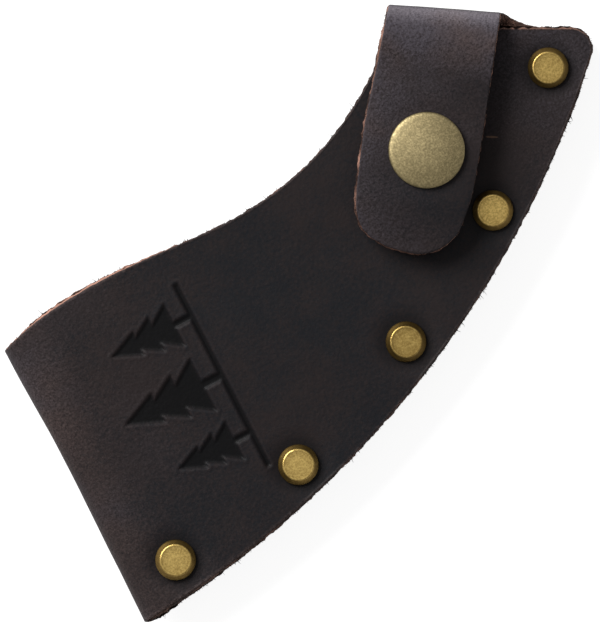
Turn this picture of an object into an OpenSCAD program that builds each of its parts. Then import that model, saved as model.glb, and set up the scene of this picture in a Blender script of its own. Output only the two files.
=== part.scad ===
// Leather sheath for an axe blade, lying on its back.
// One hide is folded along the blade's top edge, riveted over a double welt along the cutting
// edge, and its strap is folded over the end of the sheath to a snap on the front.
// Frame: X from the folded edge to the heel end, Y towards the open mouth, Z out of the front.
// The strap has a frame of its own: "across" runs along its fold, "down" runs from the
// outermost line of the fold towards the strap's tip.

/* [Leather] */
// Thickness of the hide
hide_t = 2.5; // [2:0.1:2.8]
// Thickness of one welt layer
welt_t = 2.5; // [2:0.1:2.8]
// Length from the folded edge to the heel end
body_l = 130; // [128:0.5:132]
// Outer radius of the hide's long fold
fold_r = 5; // [4.8:0.1:5]

/* [Cutting edge] */
// Radius of the riveted edge
edge_r = 198.8; // [198:0.1:199]
// Distance from the riveted edge to the rivets' line
rivet_inset = 6.6; // [6:0.1:6.8]
// Width of the welt
welt_w = 12.5; // [12:0.5:14]

/* [Rivets] */
// Number of rivets
rivet_count = 5; // [5:1:5]
// Diameter of a rivet's cap
rivet_d = 8; // [7:0.1:8.2]
// Height of a rivet's cap
rivet_h = 1.4; // [1.2:0.1:1.5]

/* [Snap] */
// Diameter of the snap's cap
snap_d = 15; // [14:0.5:16]
// Height of the snap's cap at its rim
snap_rim_h = 1.2; // [1:0.1:1.5]
// Height of the cap's dome above its rim
snap_dome_h = 0.8; // [0.4:0.1:1]

/* [Strap] */
// Gap between the front's surface and the strap
strap_lift = 3.8; // [3.8:0.1:4.2]
// Inner radius of the strap's upper bend
upper_bend_in_r = 4.75; // [4.5:0.05:5]
// Inner radius of the strap's lower bend
lower_bend_in_r = 1.2; // [1.2:0.1:1.5]

/* [Embossing] */
// Depth of the embossed trees
emboss_depth = 0.4; // [0.2:0.1:0.6]
// Height of the middle tree
tree_h = 19; // [16:0.5:20]

/* [Hidden] */
$fn = 48;
eps = 0.01;

// Levels, from the rivets' heads that the sheath rests on upwards
back_z = rivet_h;
pocket_z = back_z + hide_t;
pocket_h = 2 * welt_t;
front_z = pocket_z + pocket_h;
front_top_z = front_z + hide_t;
strap_z = front_top_z + strap_lift;
strap_top_z = strap_z + hide_t;
fold_mid_z = (back_z + front_top_z) / 2;

// Outline of the hide
fold_x = -body_l / 2;
fold_in_r = (front_z - pocket_z) / 2;
edge_centre = [-77.5, 155.5];
mouth_fold = [fold_x, 17];
mouth_low = [-20, 19.4];
mouth_end = [31.6, 38.4];
end_point = [50.4, 28.7];
end_angle = -27.3;
heel_r = 3.9;
front_setback = 0.7;
mouth_corner_r = 2;

// Rivets, along an arc that runs beside the cutting edge
rivet_line_r = edge_r - rivet_inset;
first_rivet_angle = 7.1;
rivet_pitch_angle = 9.2;
// How far each hand-set rivet strays from that pitch, from the heel to the toe
rivet_stray = [[-0.6, 0.25], [0.8, -0.1], [0.55, 0.3], [-0.45, -0.45], [-0.2, 0.25]];
rivet_flat_d = 0.75 * rivet_d;
rivet_tube_r = 1.6;
rivet_tube_in_r = 1.2;
rivet_shank_r = 1.15;
rivet_hole_r = 1.65;
rivet_end_gap = 0.4;

// Strap frame: middle of the fold's outermost line, and the fold's direction
strap_pos = [42.5, 36.95];
strap_angle = -31.4;
strap_root_half_w = 11;
bridge_out = hide_t + lower_bend_in_r;
upper_bend_r = upper_bend_in_r + hide_t;
lower_bend_r = lower_bend_in_r + hide_t;
flap_start = upper_bend_r;
bridge_low_z = back_z + lower_bend_r;
bridge_high_z = strap_top_z - upper_bend_r;
tab_end = 12.3;
gusset_gap = 0.35;
gusset_l = 5;
gusset_rise = 2.2;

// Snap: its place on the strap, and the radii of its pieces
snap_place = [-1.56, 28.09];
snap_hole_r = 2;
strap_hole_r = 1.85;
stud_flange_r = 5.6;
stud_flange_h = 0.6;
stud_neck_r = 2.75;
stud_neck_top = front_top_z + 1.5;
stud_head_r = 3.25;
stud_head_h = 0.9;
stud_mouth_r = 2.75;
eyelet_flange_r = 5.5;
eyelet_flange_h = 0.5;
eyelet_tube_r = 1.9;
eyelet_bore_r = 1.5;
eyelet_rim_r = 2.6;
eyelet_rim_h = 0.3;
socket_r = 6.1;
socket_cavity_r = 4;
socket_low_z = stud_neck_top - 0.6;
socket_roof_h = 0.6;
cap_post_r = 1.75;
cap_rim_r = 2.7;
cap_rim_h = 0.45;
cap_bore_r = 1.2;
spring_wire_r = 0.3;
spring_ring_r = 3.6;

// Embossing: middle of the row of trees, and each tree's place and size in the row
emboss_centre = [-41, -7];
tree_shares = [0.8, 1, 0.72];
tree_places = [13, 0, -12.5];
tree_half_w_share = 0.3;
ground_l = 40;
ground_w = 0.9;

hide_colour = [0.13, 0.10, 0.09];
raw_colour = [0.30, 0.17, 0.12];
rivet_colour = [0.72, 0.58, 0.30];
snap_colour = [0.60, 0.54, 0.36];
inner_colour = [0.66, 0.55, 0.34];

// ---- Geometry helpers ----

// Point of a cubic curve with evenly spaced heights, at share t of its length along X.
function curve_point(x0, x1, y, t) = [
    x0 + (x1 - x0) * t,
    pow(1 - t, 3) * y[0] + 3 * t * pow(1 - t, 2) * y[1] + 3 * t * t * (1 - t) * y[2] + pow(t, 3) * y[3]
];

// Points of an arc, from angle a0 to a1, both included.
function arc(c, r, a0, a1, n) = [
    for (i = [0:n]) c + r * [cos(a0 + (a1 - a0) * i / n), sin(a0 + (a1 - a0) * i / n)]
];

function unit(v) = v / norm(v);
function heading(v) = atan2(v[1], v[0]);

// Angle b brought within half a turn of angle a, so that an arc takes the short way.
function near(a, b) = b - 360 * round((b - a) / 360);

// Points that round the corner q, between the straight lines to p and to s.
function rounded(p, q, s, r, n = 5) =
    let (
        u = unit(p - q),
        v = unit(s - q),
        half = acos(u * v) / 2,
        c = q + unit(u + v) * r / sin(half),
        a0 = heading(q + u * r / tan(half) - c),
        a1 = heading(q + v * r / tan(half) - c)
    )
    arc(c, r, a0, near(a0, a1), n);

// A place in the strap's frame, in the sheath's frame.
function on_strap(p) = strap_pos + [
    p[0] * cos(strap_angle) + p[1] * sin(strap_angle),
    p[0] * sin(strap_angle) - p[1] * cos(strap_angle)
];

snap_pos = on_strap(snap_place);

function rivet_pos(i) =
    let (a = first_rivet_angle + rivet_pitch_angle * (rivet_count - i))
    edge_centre + rivet_line_r * [sin(a), -cos(a)] + rivet_stray[i - 1];

// Centre of the heel's rounded corner: it touches the end edge and the cutting edge.
function heel_centre(setback) =
    let (
        along = [cos(end_angle), sin(end_angle)],
        inward = [sin(end_angle), -cos(end_angle)],
        start = end_point + inward * (heel_r + setback),
        d = start - edge_centre,
        reach = edge_r - heel_r
    )
    start + along * (-d * along + sqrt(pow(d * along, 2) - d * d + reach * reach));

// Outline of one side of the sheath, whose end edge is set back from the back's.
function side_outline(setback) =
    let (
        inward = [sin(end_angle), -cos(end_angle)],
        mouth_b = [for (t = [0.125:0.125:0.88]) curve_point(mouth_low[0], mouth_end[0], [19.4, 18.35, 22.26, 38.4], t)],
        corner = mouth_end + inward * setback,
        heel = heel_centre(setback),
        edge_end = heading(heel - edge_centre),
        edge_start = heading([fold_x, edge_centre[1] - sqrt(edge_r * edge_r - pow(fold_x - edge_centre[0], 2))] - edge_centre)
    )
    concat(
        [for (t = [0:0.125:1]) curve_point(mouth_fold[0], mouth_low[0], [mouth_fold[1], 21.9, 20.35, mouth_low[1]], t)],
        mouth_b,
        rounded(mouth_b[len(mouth_b) - 1], corner, heel - inward * heel_r, mouth_corner_r),
        arc(heel, heel_r, heading(-inward), edge_end, 8),
        arc(edge_centre, edge_r, edge_end, edge_start, 24)
    );

// ---- Shared shapes ----

module at_strap() {
    translate([strap_pos[0], strap_pos[1], 0])
        rotate([0, 0, strap_angle])
            mirror([0, 1, 0])
                children();
}

// Plan of the whole strap in its own frame, from the fold's outermost line to the tip.
module strap_plan() {
    tip = [
        [-14.66, 39.2], [-14, 42.5], [-12.4, 44.9], [-10.1, 46.4], [-6.7, 47.8],
        [-1.2, 48.4], [1.7, 47.2], [5.35, 43.6], [7.05, 40], [7.97, 36.4], [8.45, 32]
    ];
    polygon(concat([[-strap_root_half_w, 0], [-12.5, 12.3], [-13.8, 21.6], [-14.54, 32]], tip, [[9.3, 24], [strap_root_half_w, 0]]));
}

// Part of the strap's plan between two distances from the fold's outermost line.
module strap_stretch(from, to) {
    intersection() {
        strap_plan();
        translate([-30, from]) square([60, to - from]);
    }
}

// Solid of a profile drawn in (down, z) and carried across the strap, cut to the strap's plan.
module across_strap() {
    at_strap()
        intersection() {
            rotate([90, 0, 90]) translate([0, 0, -30]) linear_extrude(60) children();
            translate([0, 0, back_z - 1]) linear_extrude(strap_top_z + 2) strap_stretch(-1, flap_start + 1);
        }
}

// Quarter ring in (down, z) round centre c, in the quadrant that (sx, sz) points to.
module quarter_ring(c, r_in, r_out, sx, sz) {
    translate(c)
        intersection() {
            difference() {
                circle(r = r_out);
                circle(r = r_in);
            }
            translate([sx < 0 ? -2 * r_out : 0, sz < 0 ? -2 * r_out : 0]) square(2 * r_out);
        }
}

module rivet_holes() {
    for (i = [1:rivet_count])
        translate([rivet_pos(i)[0], rivet_pos(i)[1], 0])
            cylinder(r = rivet_hole_r, h = front_top_z + 1);
}

// A cap or head: a bevelled disc standing on z = 0, with its flat face up.
module rivet_disc() {
    rotate_extrude()
        polygon([[0, 0], [rivet_d / 2, 0], [rivet_d / 2, 0.35 * rivet_h], [rivet_flat_d / 2, rivet_h], [0, rivet_h]]);
}

// Fir tree of three tiers that points along +Y, with its foot at the origin.
module tree(h) {
    w = tree_half_w_share * h;
    polygon([
        [0, h], [0.55 * w, 0.62 * h], [0.3 * w, 0.62 * h], [0.8 * w, 0.36 * h], [0.42 * w, 0.36 * h],
        [w, 0.1 * h], [0.14 * w, 0.1 * h], [0.14 * w, 0], [-0.14 * w, 0], [-0.14 * w, 0.1 * h],
        [-w, 0.1 * h], [-0.42 * w, 0.36 * h], [-0.8 * w, 0.36 * h], [-0.3 * w, 0.62 * h], [-0.55 * w, 0.62 * h]
    ]);
}

module embossing() {
    translate([emboss_centre[0], emboss_centre[1], front_top_z - emboss_depth])
        linear_extrude(emboss_depth + 1)
            rotate(90) {
                for (i = [0:len(tree_shares) - 1])
                    translate([tree_places[i], -tree_h / 2])
                        tree(tree_h * tree_shares[i]);
                translate([-ground_l / 2, -tree_h / 2 - 2 * ground_w]) square([ground_l, ground_w]);
            }
}

// ---- Leather ----

// The hide's section across its long fold, as a solid along Y, between two levels.
module folded_section(z0, z1) {
    module long_slot(r) {
        translate([fold_x + fold_r, fold_mid_z]) circle(r = r);
        translate([fold_x + fold_r, fold_mid_z - r]) square([body_l, 2 * r]);
    }
    translate([0, 60, 0])
        rotate([90, 0, 0])
            linear_extrude(120)
                intersection() {
                    difference() {
                        long_slot(fold_r);
                        long_slot(fold_in_r);
                    }
                    translate([fold_x - 1, z0]) square([body_l + 2, z1 - z0]);
                }
}

// Back's outline, with the root of the strap and the flare beside it.
module back_plan() {
    difference() {
        union() {
            polygon(side_outline(0));
            at_strap() strap_stretch(bridge_out, tab_end);
            at_strap()
                polygon([
                    [strap_root_half_w, bridge_out + 1], [strap_root_half_w, 0.4],
                    [strap_root_half_w + 0.4 * gusset_l, 0.2 * gusset_rise + 0.4],
                    [strap_root_half_w + gusset_l, gusset_rise], [strap_root_half_w + gusset_l, bridge_out + 1]
                ]);
        }
        at_strap() translate([-30, -10]) square([30 + strap_root_half_w + gusset_gap, 10 + bridge_out]);
    }
}

module leather_body() {
    color(hide_colour)
        difference() {
            union() {
                intersection() {
                    folded_section(fold_mid_z, front_top_z);
                    linear_extrude(front_top_z + 1) polygon(side_outline(front_setback));
                }
                intersection() {
                    folded_section(back_z, fold_mid_z);
                    linear_extrude(front_top_z + 1) back_plan();
                }
            }
            rivet_holes();
            embossing();
            translate([snap_pos[0], snap_pos[1], front_z - 1]) cylinder(r = snap_hole_r, h = hide_t + 2);
            translate([snap_pos[0], snap_pos[1], front_z - 1])
                cylinder(r = eyelet_flange_r + 0.05, h = eyelet_flange_h + 1);
        }
}

module welt(z) {
    color(raw_colour)
        difference() {
            translate([0, 0, z])
                linear_extrude(welt_t)
                    difference() {
                        intersection() {
                            polygon(side_outline(front_setback));
                            translate([fold_x + fold_r, -60]) square([body_l, 120]);
                        }
                        translate(edge_centre) circle(r = edge_r - welt_w, $fn = 240);
                    }
            rivet_holes();
        }
}

module strap_lower_bend() {
    color(hide_colour)
        across_strap()
            quarter_ring([bridge_out, bridge_low_z], lower_bend_in_r, lower_bend_r, -1, -1);
}

module strap_bridge() {
    color(hide_colour)
        across_strap()
            translate([0, bridge_low_z]) square([hide_t, bridge_high_z - bridge_low_z]);
}

module strap_upper_bend() {
    color(hide_colour)
        across_strap()
            quarter_ring([flap_start, bridge_high_z], upper_bend_in_r, upper_bend_r, -1, 1);
}

module closure_strap() {
    color(hide_colour)
        difference() {
            at_strap()
                translate([0, 0, strap_z])
                    linear_extrude(hide_t)
                        strap_stretch(flap_start, 60);
            translate([snap_pos[0], snap_pos[1], strap_z - 1]) cylinder(r = strap_hole_r, h = hide_t + 2);
        }
}

// ---- Rivets ----

module rivet_cap(i) {
    color(rivet_colour)
        translate([rivet_pos(i)[0], rivet_pos(i)[1], 0])
            difference() {
                union() {
                    translate([0, 0, front_top_z]) rivet_disc();
                    translate([0, 0, back_z + rivet_end_gap]) cylinder(r = rivet_tube_r, h = front_top_z - back_z);
                }
                translate([0, 0, back_z]) cylinder(r = rivet_tube_in_r, h = front_top_z - back_z);
            }
}

module rivet_post(i) {
    color(rivet_colour)
        translate([rivet_pos(i)[0], rivet_pos(i)[1], 0]) {
            translate([0, 0, back_z]) mirror([0, 0, 1]) rivet_disc();
            translate([0, 0, back_z - eps]) cylinder(r = rivet_shank_r, h = front_top_z - back_z - rivet_end_gap);
        }
}

// ---- Snap ----

module snap_cap() {
    dome_r = (pow(snap_d / 2, 2) + pow(snap_dome_h, 2)) / (2 * snap_dome_h);
    post_low_z = strap_z - socket_roof_h - cap_rim_h - 0.1;
    color(snap_colour)
        translate([snap_pos[0], snap_pos[1], 0])
            difference() {
                union() {
                    translate([0, 0, strap_top_z]) cylinder(d = snap_d, h = snap_rim_h);
                    intersection() {
                        translate([0, 0, strap_top_z + snap_rim_h + snap_dome_h - dome_r]) sphere(r = dome_r, $fn = 96);
                        translate([0, 0, strap_top_z + snap_rim_h]) cylinder(d = snap_d, h = snap_dome_h + 1);
                    }
                    translate([0, 0, post_low_z]) cylinder(r = cap_post_r, h = strap_top_z - post_low_z);
                    translate([0, 0, post_low_z]) cylinder(r = cap_rim_r, h = cap_rim_h);
                }
                translate([0, 0, post_low_z - 1]) cylinder(r = cap_bore_r, h = strap_top_z - post_low_z);
            }
}

module snap_socket() {
    roof_z = strap_z - socket_roof_h;
    color(inner_colour)
        translate([snap_pos[0], snap_pos[1], 0])
            difference() {
                translate([0, 0, socket_low_z])
                    rotate_extrude()
                        polygon([
                            [0, 0], [socket_r - 1.2, 0], [socket_r - 0.6, 0.5],
                            [socket_r, strap_z - socket_low_z - 0.6], [socket_r, strap_z - socket_low_z],
                            [0, strap_z - socket_low_z]
                        ]);
                translate([0, 0, socket_low_z - 1]) cylinder(r = socket_cavity_r, h = roof_z - socket_low_z + 1);
                translate([0, 0, roof_z - 1]) cylinder(r = strap_hole_r, h = 2);
            }
}

// Ring of wire that grips the stud's neck, kept just under the socket's roof.
module snap_spring() {
    color("silver")
        translate([snap_pos[0], snap_pos[1], stud_neck_top - 0.05 - spring_wire_r])
            rotate_extrude()
                translate([spring_ring_r, 0]) circle(r = spring_wire_r, $fn = 24);
}

module snap_stud() {
    head_z = stud_neck_top - front_top_z;
    color(inner_colour)
        translate([snap_pos[0], snap_pos[1], front_top_z])
            difference() {
                rotate_extrude()
                    polygon([
                        [0, 0], [stud_flange_r, 0], [stud_flange_r, 0.3], [stud_neck_r + 0.6, stud_flange_h],
                        [stud_neck_r, stud_flange_h], [stud_neck_r, head_z - 0.1], [stud_head_r, head_z + 0.2],
                        [stud_head_r, head_z + 0.5], [stud_head_r - 0.5, head_z + stud_head_h], [0, head_z + stud_head_h]
                    ]);
                translate([0, 0, -1]) cylinder(r = snap_hole_r, h = head_z + stud_head_h + 2);
                translate([0, 0, head_z]) cylinder(r = stud_mouth_r, h = stud_head_h + 1);
            }
}

module snap_eyelet() {
    tube_top_z = stud_neck_top + eyelet_rim_h + 0.1;
    color(inner_colour)
        translate([snap_pos[0], snap_pos[1], 0])
            difference() {
                union() {
                    translate([0, 0, front_z]) cylinder(r = eyelet_flange_r, h = eyelet_flange_h);
                    translate([0, 0, front_z]) cylinder(r = eyelet_tube_r, h = tube_top_z - front_z);
                    translate([0, 0, tube_top_z - eyelet_rim_h]) cylinder(r = eyelet_rim_r, h = eyelet_rim_h);
                }
                translate([0, 0, front_z - 1]) cylinder(r = eyelet_bore_r, h = tube_top_z - front_z + 2);
            }
}

// ---- Parts ----

leather_body();
welt(pocket_z + welt_t);  // welt_front
welt(pocket_z);  // welt_back
strap_lower_bend();
strap_bridge();
strap_upper_bend();
closure_strap();
for (i = [1:rivet_count])
    rivet_cap(i);
for (i = [1:rivet_count])
    rivet_post(i);
snap_cap();
snap_socket();
snap_spring();
snap_stud();
snap_eyelet();
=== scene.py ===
"""Leather sheath for an axe blade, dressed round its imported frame.

The hide, its strap, the welts, the rivets and the snap are rebuilt as worked-out surfaces and
dressed with procedural leather and antique brass. Sizes are in millimetres until a mesh is made.
"""

import logging
import math
from collections.abc import Sequence
from dataclasses import dataclass
from enum import IntEnum

import bpy
import numpy as np
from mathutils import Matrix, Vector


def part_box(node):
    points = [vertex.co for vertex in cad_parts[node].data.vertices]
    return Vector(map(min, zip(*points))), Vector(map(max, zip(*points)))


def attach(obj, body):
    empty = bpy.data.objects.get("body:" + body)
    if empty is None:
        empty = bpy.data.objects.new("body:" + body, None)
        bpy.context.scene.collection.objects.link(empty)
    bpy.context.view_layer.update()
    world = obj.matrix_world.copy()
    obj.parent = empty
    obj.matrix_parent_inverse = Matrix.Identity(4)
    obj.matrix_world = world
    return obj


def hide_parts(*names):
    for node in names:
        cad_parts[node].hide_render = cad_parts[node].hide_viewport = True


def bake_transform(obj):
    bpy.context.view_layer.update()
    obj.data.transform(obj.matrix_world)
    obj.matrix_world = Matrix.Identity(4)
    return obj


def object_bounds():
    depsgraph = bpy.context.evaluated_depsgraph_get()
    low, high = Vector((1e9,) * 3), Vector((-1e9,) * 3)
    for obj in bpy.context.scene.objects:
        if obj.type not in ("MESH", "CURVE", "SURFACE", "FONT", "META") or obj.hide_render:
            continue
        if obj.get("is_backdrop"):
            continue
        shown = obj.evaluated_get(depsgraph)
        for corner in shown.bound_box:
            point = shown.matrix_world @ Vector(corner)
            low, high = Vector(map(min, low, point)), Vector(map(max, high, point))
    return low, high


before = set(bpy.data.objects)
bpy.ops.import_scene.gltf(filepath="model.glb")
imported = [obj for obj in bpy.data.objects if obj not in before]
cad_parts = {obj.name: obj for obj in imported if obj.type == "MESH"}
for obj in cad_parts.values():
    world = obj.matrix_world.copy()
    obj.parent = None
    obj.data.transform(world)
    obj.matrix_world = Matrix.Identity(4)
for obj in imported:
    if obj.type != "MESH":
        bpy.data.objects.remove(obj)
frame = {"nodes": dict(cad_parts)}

LOG = logging.getLogger("sheath")
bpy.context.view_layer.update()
MM = 0.001
SHARP_ANGLE = math.radians(48)
WAVE_SPREAD = (0.7, 1.7)
CURVE_SAMPLES = 40
SECTION_SAMPLES = 400
ON_AXIS = 1e-6


# ---------------------------------------------------------------- numbers


def smooth(lo: float, hi: float, x: np.ndarray) -> np.ndarray:
    """Smooth step of x, from 0 at lo to 1 at hi: 3t^2 - 2t^3."""
    t = np.clip((x - lo) / (hi - lo), 0.0, 1.0)
    return t * t * (3.0 - 2.0 * t)


def steps(*stretches: tuple[float, float, int]) -> np.ndarray:
    """Positions that are even within each stretch.

    Args:
        stretches: start, end and number of intervals of each stretch, end to end.

    Returns:
        The positions of all stretches in order, each shared end once.
    """
    runs = [np.linspace(a, b, n, endpoint=False) for a, b, n in stretches]
    return np.concatenate([*runs, [stretches[-1][1]]])


def waves(points: np.ndarray, wavelength: float, seed: int, count: int = 11) -> np.ndarray:
    """Smooth random field: a sum of plane sine waves in random directions.

    Args:
        points: places to evaluate, with three coordinates last.
        wavelength: middle length of the waves, in the points' unit.
        seed: seed of the directions, lengths and phases.
        count: number of waves.

    Returns:
        One number for each point, mostly between -1 and 1.
    """
    rng = np.random.default_rng(seed)
    heading = rng.normal(size=(count, 3))
    heading /= np.linalg.norm(heading, axis=1, keepdims=True)
    pitch = wavelength * rng.uniform(*WAVE_SPREAD, count)
    phase = rng.uniform(0.0, 2.0 * np.pi, count)
    return np.sin(points @ (heading / pitch[:, None]).T * 2.0 * np.pi + phase).sum(-1) / math.sqrt(count)


def layered(points: np.ndarray, seed: int, *layers: tuple[float, float]) -> np.ndarray:
    """Sum of random fields of waves.

    Args:
        points: places to evaluate, with three coordinates last.
        seed: the first field's seed; each next field's is one more.
        layers: amount and wavelength of each field.

    Returns:
        One number for each point.
    """
    return sum(amount * waves(points, length, seed + i) for i, (amount, length) in enumerate(layers))


def unit(v: np.ndarray) -> np.ndarray:
    """Vectors of length one along the last axis."""
    return v / np.maximum(np.linalg.norm(v, axis=-1, keepdims=True), 1e-12)


def grid_normals(points: np.ndarray) -> np.ndarray:
    """Unit normals of a grid of points: first direction crossed with second."""
    return unit(np.cross(np.gradient(points, axis=0), np.gradient(points, axis=1)))


def ruled(first: np.ndarray, last: np.ndarray, shares: np.ndarray) -> np.ndarray:
    """Surface of straight lines from each point of one curve to the same point of another.

    Args:
        first: points of the curve at share 0.
        last: points of the curve at share 1.
        shares: positions along the lines.

    Returns:
        Grid of points, curves first and shares second.
    """
    v = shares[None, :, None]
    return first[:, None] * (1.0 - v) + last[:, None] * v


def coons(low: np.ndarray, high: np.ndarray, start: np.ndarray, end: np.ndarray) -> np.ndarray:
    """Patch between four curves: the two ruled surfaces minus the one through the corners.

    Args:
        low: first side along the first direction.
        high: the side opposite to low.
        start: first side along the second direction, from low to high.
        end: the side opposite to start.

    Returns:
        Grid of points whose edges are the four curves.
    """
    u = np.linspace(0.0, 1.0, len(low))
    v = np.linspace(0.0, 1.0, len(start))
    across = ruled(low, high, v)
    along = np.swapaxes(ruled(start, end, u), 0, 1)
    corners = ruled(ruled(low[:1], low[-1:], u)[0], ruled(high[:1], high[-1:], u)[0], v)
    return across + along - corners


def through(points: Sequence[tuple[float, float]], count: int) -> np.ndarray:
    """Smooth curve through points: a Catmull-Rom spline, evenly spaced along its length.

    Args:
        points: the points that the curve passes through.
        count: number of points of the result.

    Returns:
        Points of the curve.
    """
    p = np.array(points, float)
    p = np.vstack([2 * p[0] - p[1], p, 2 * p[-1] - p[-2]])
    at = np.linspace(0.0, len(points) - 1.0, CURVE_SAMPLES * len(points))
    k = np.minimum(at.astype(int), len(points) - 2)
    t = (at - k)[:, None]
    a, b, c, d = p[k], p[k + 1], p[k + 2], p[k + 3]
    square, cube = 2 * a - 5 * b + 4 * c - d, 3 * b - 3 * c + d - a
    curve = 0.5 * (2 * b + (c - a) * t + square * t**2 + cube * t**3)
    return resample(curve, np.linspace(0.0, 1.0, count))


def resample(curve: np.ndarray, shares: np.ndarray) -> np.ndarray:
    """Points of a curve at shares of its length."""
    run = np.concatenate([[0.0], np.cumsum(np.linalg.norm(np.diff(curve, axis=0), axis=1))])
    return np.stack([np.interp(shares * run[-1], run, axis) for axis in curve.T], axis=-1)


def heading(way: np.ndarray) -> float:
    """Angle of a direction in plan."""
    return math.atan2(way[1], way[0])


def circle_angles(sides: int) -> np.ndarray:
    """Angles of points that are even round a circle."""
    return np.linspace(0.0, 2.0 * np.pi, sides, endpoint=False)


def arc(middle: np.ndarray, radius: float, first: float, last: float, count: int) -> np.ndarray:
    """Points of a circle, even between two angles.

    Args:
        middle: the circle's centre in plan.
        radius: its radius.
        first: angle of the first point.
        last: angle of the last point.
        count: number of points.

    Returns:
        The points in plan.
    """
    angle = np.linspace(first, last, count)
    return middle + radius * np.stack([np.cos(angle), np.sin(angle)], axis=-1)


def run_to_circle(start: np.ndarray, run: np.ndarray, radius: float) -> float:
    """Distance along a unit direction from a place to where its line leaves a circle round the origin."""
    along = start @ run
    return math.sqrt(along**2 - start @ start + radius**2) - along


def outline_distance(points: np.ndarray, outline: np.ndarray) -> np.ndarray:
    """Signed distance from points to a closed outline, negative inside it.

    Args:
        points: places in the plane, with two coordinates last.
        outline: corners of the outline in order.

    Returns:
        The least distance to the outline's sides; the sign comes from counting crossings.
    """
    nearest = np.full(points.shape[:-1], np.inf)
    inside = np.zeros(points.shape[:-1], bool)
    for a, b in zip(outline, np.roll(outline, -1, axis=0)):
        side = b - a
        t = np.clip(((points - a) @ side) / (side @ side), 0.0, 1.0)
        nearest = np.minimum(nearest, np.linalg.norm(points - a - t[..., None] * side, axis=-1))
        spans = (a[1] > points[..., 1]) != (b[1] > points[..., 1])
        slope = side[0] / (side[1] if side[1] else 1e-9)
        inside ^= spans & (points[..., 0] < a[0] + (points[..., 1] - a[1]) * slope)
    return np.where(inside, -nearest, nearest)


# ---------------------------------------------------------------- meshes


class Face(IntEnum):
    """Which finish a face of a piece takes."""

    GRAIN = 0
    FLESH = 1
    CUT = 2


@dataclass
class Mesh:
    """Points and faces of a piece, with the numbers painted on its points."""

    points: np.ndarray
    quads: np.ndarray
    quad_faces: np.ndarray
    tris: np.ndarray
    tri_faces: np.ndarray
    paint: dict[str, np.ndarray]

    def piece(self, name: str, materials: list[bpy.types.Material]) -> bpy.types.Object:
        """Makes the Blender object.

        Args:
            name: the piece's name.
            materials: its materials, in the order of Face.

        Returns:
            The object, at the origin, with its place in its mesh.
        """
        data = bpy.data.meshes.new(name)
        data.from_pydata((self.points * MM).tolist(), [], self.quads.tolist() + self.tris.tolist())
        finishes = np.concatenate([self.quad_faces, self.tri_faces]).astype(np.int32)
        data.polygons.foreach_set("material_index", finishes)
        for key, values in self.paint.items():
            data.attributes.new(key, "FLOAT", "POINT").data.foreach_set("value", values.astype(np.float32))
        for material in materials:
            data.materials.append(material)
        data.shade_smooth()
        data.set_sharp_from_angle(angle=SHARP_ANGLE)
        data.validate()
        made = bpy.data.objects.new(name, data)
        bpy.context.scene.collection.objects.link(made)
        LOG.info("%s: %d points, %d faces", name, len(self.points), len(data.polygons))
        return made


def ring_of(n: int, m: int) -> np.ndarray:
    """Indices of the edge of an n by m grid, once round, starting at its first corner."""
    index = np.arange(n * m).reshape(n, m)
    return np.concatenate([index[:-1, 0], index[-1, :-1], index[:0:-1, -1], index[0, :0:-1]])


def ring_sides(n: int, m: int) -> tuple[slice, ...]:
    """The four sides of an n by m grid's ring in order, each with its first corner only."""
    corners = (0, n - 1, n + m - 2, 2 * n + m - 3, 2 * (n + m) - 4)
    return tuple(slice(start, end) for start, end in zip(corners, corners[1:]))


def grid_quads(index: np.ndarray) -> np.ndarray:
    """Quads of a grid of point indices, facing along first direction crossed with second."""
    corners = [index[:-1, :-1], index[1:, :-1], index[1:, 1:], index[:-1, 1:]]
    return np.stack(corners, axis=-1).reshape(-1, 4)


def band_quads(rings: np.ndarray) -> np.ndarray:
    """Quads between each closed ring of point indices and the next, with a ring's points last."""
    low, high = rings[..., :-1, :], rings[..., 1:, :]
    corners = [low, np.roll(low, -1, axis=-1), np.roll(high, -1, axis=-1), high]
    return np.stack(corners, axis=-1).reshape(-1, 4)


@dataclass(frozen=True)
class CutEdge:
    """How a sheet of leather looks where it was cut.

    The rough field has waves that run through the whole wall, and grit that changes down it. Both
    are amounts and wavelengths, and the grit moves by its shift from the top to the bottom.
    """

    chamfer: float = 0.22
    chamfer_depth: float = 0.07
    roughness: float = 0.115
    rough_waves: tuple[tuple[float, float], ...] = ((0.85, 1.25), (0.45, 3.1))
    grit: tuple[float, float] = (0.7, 1.1)
    grit_shift: float = 5.0
    full_grit_at: float = 0.25
    swell: float = 0.05
    hem: float = 0.3
    rows: tuple[float, ...] = (0.07, 0.2, 0.4, 0.6, 0.8, 1.0)


@dataclass
class Rim:
    """The cut edge of a made sheet: where fibres can grow from."""

    top: np.ndarray
    bottom: np.ndarray
    outward: np.ndarray
    raw: np.ndarray


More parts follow.
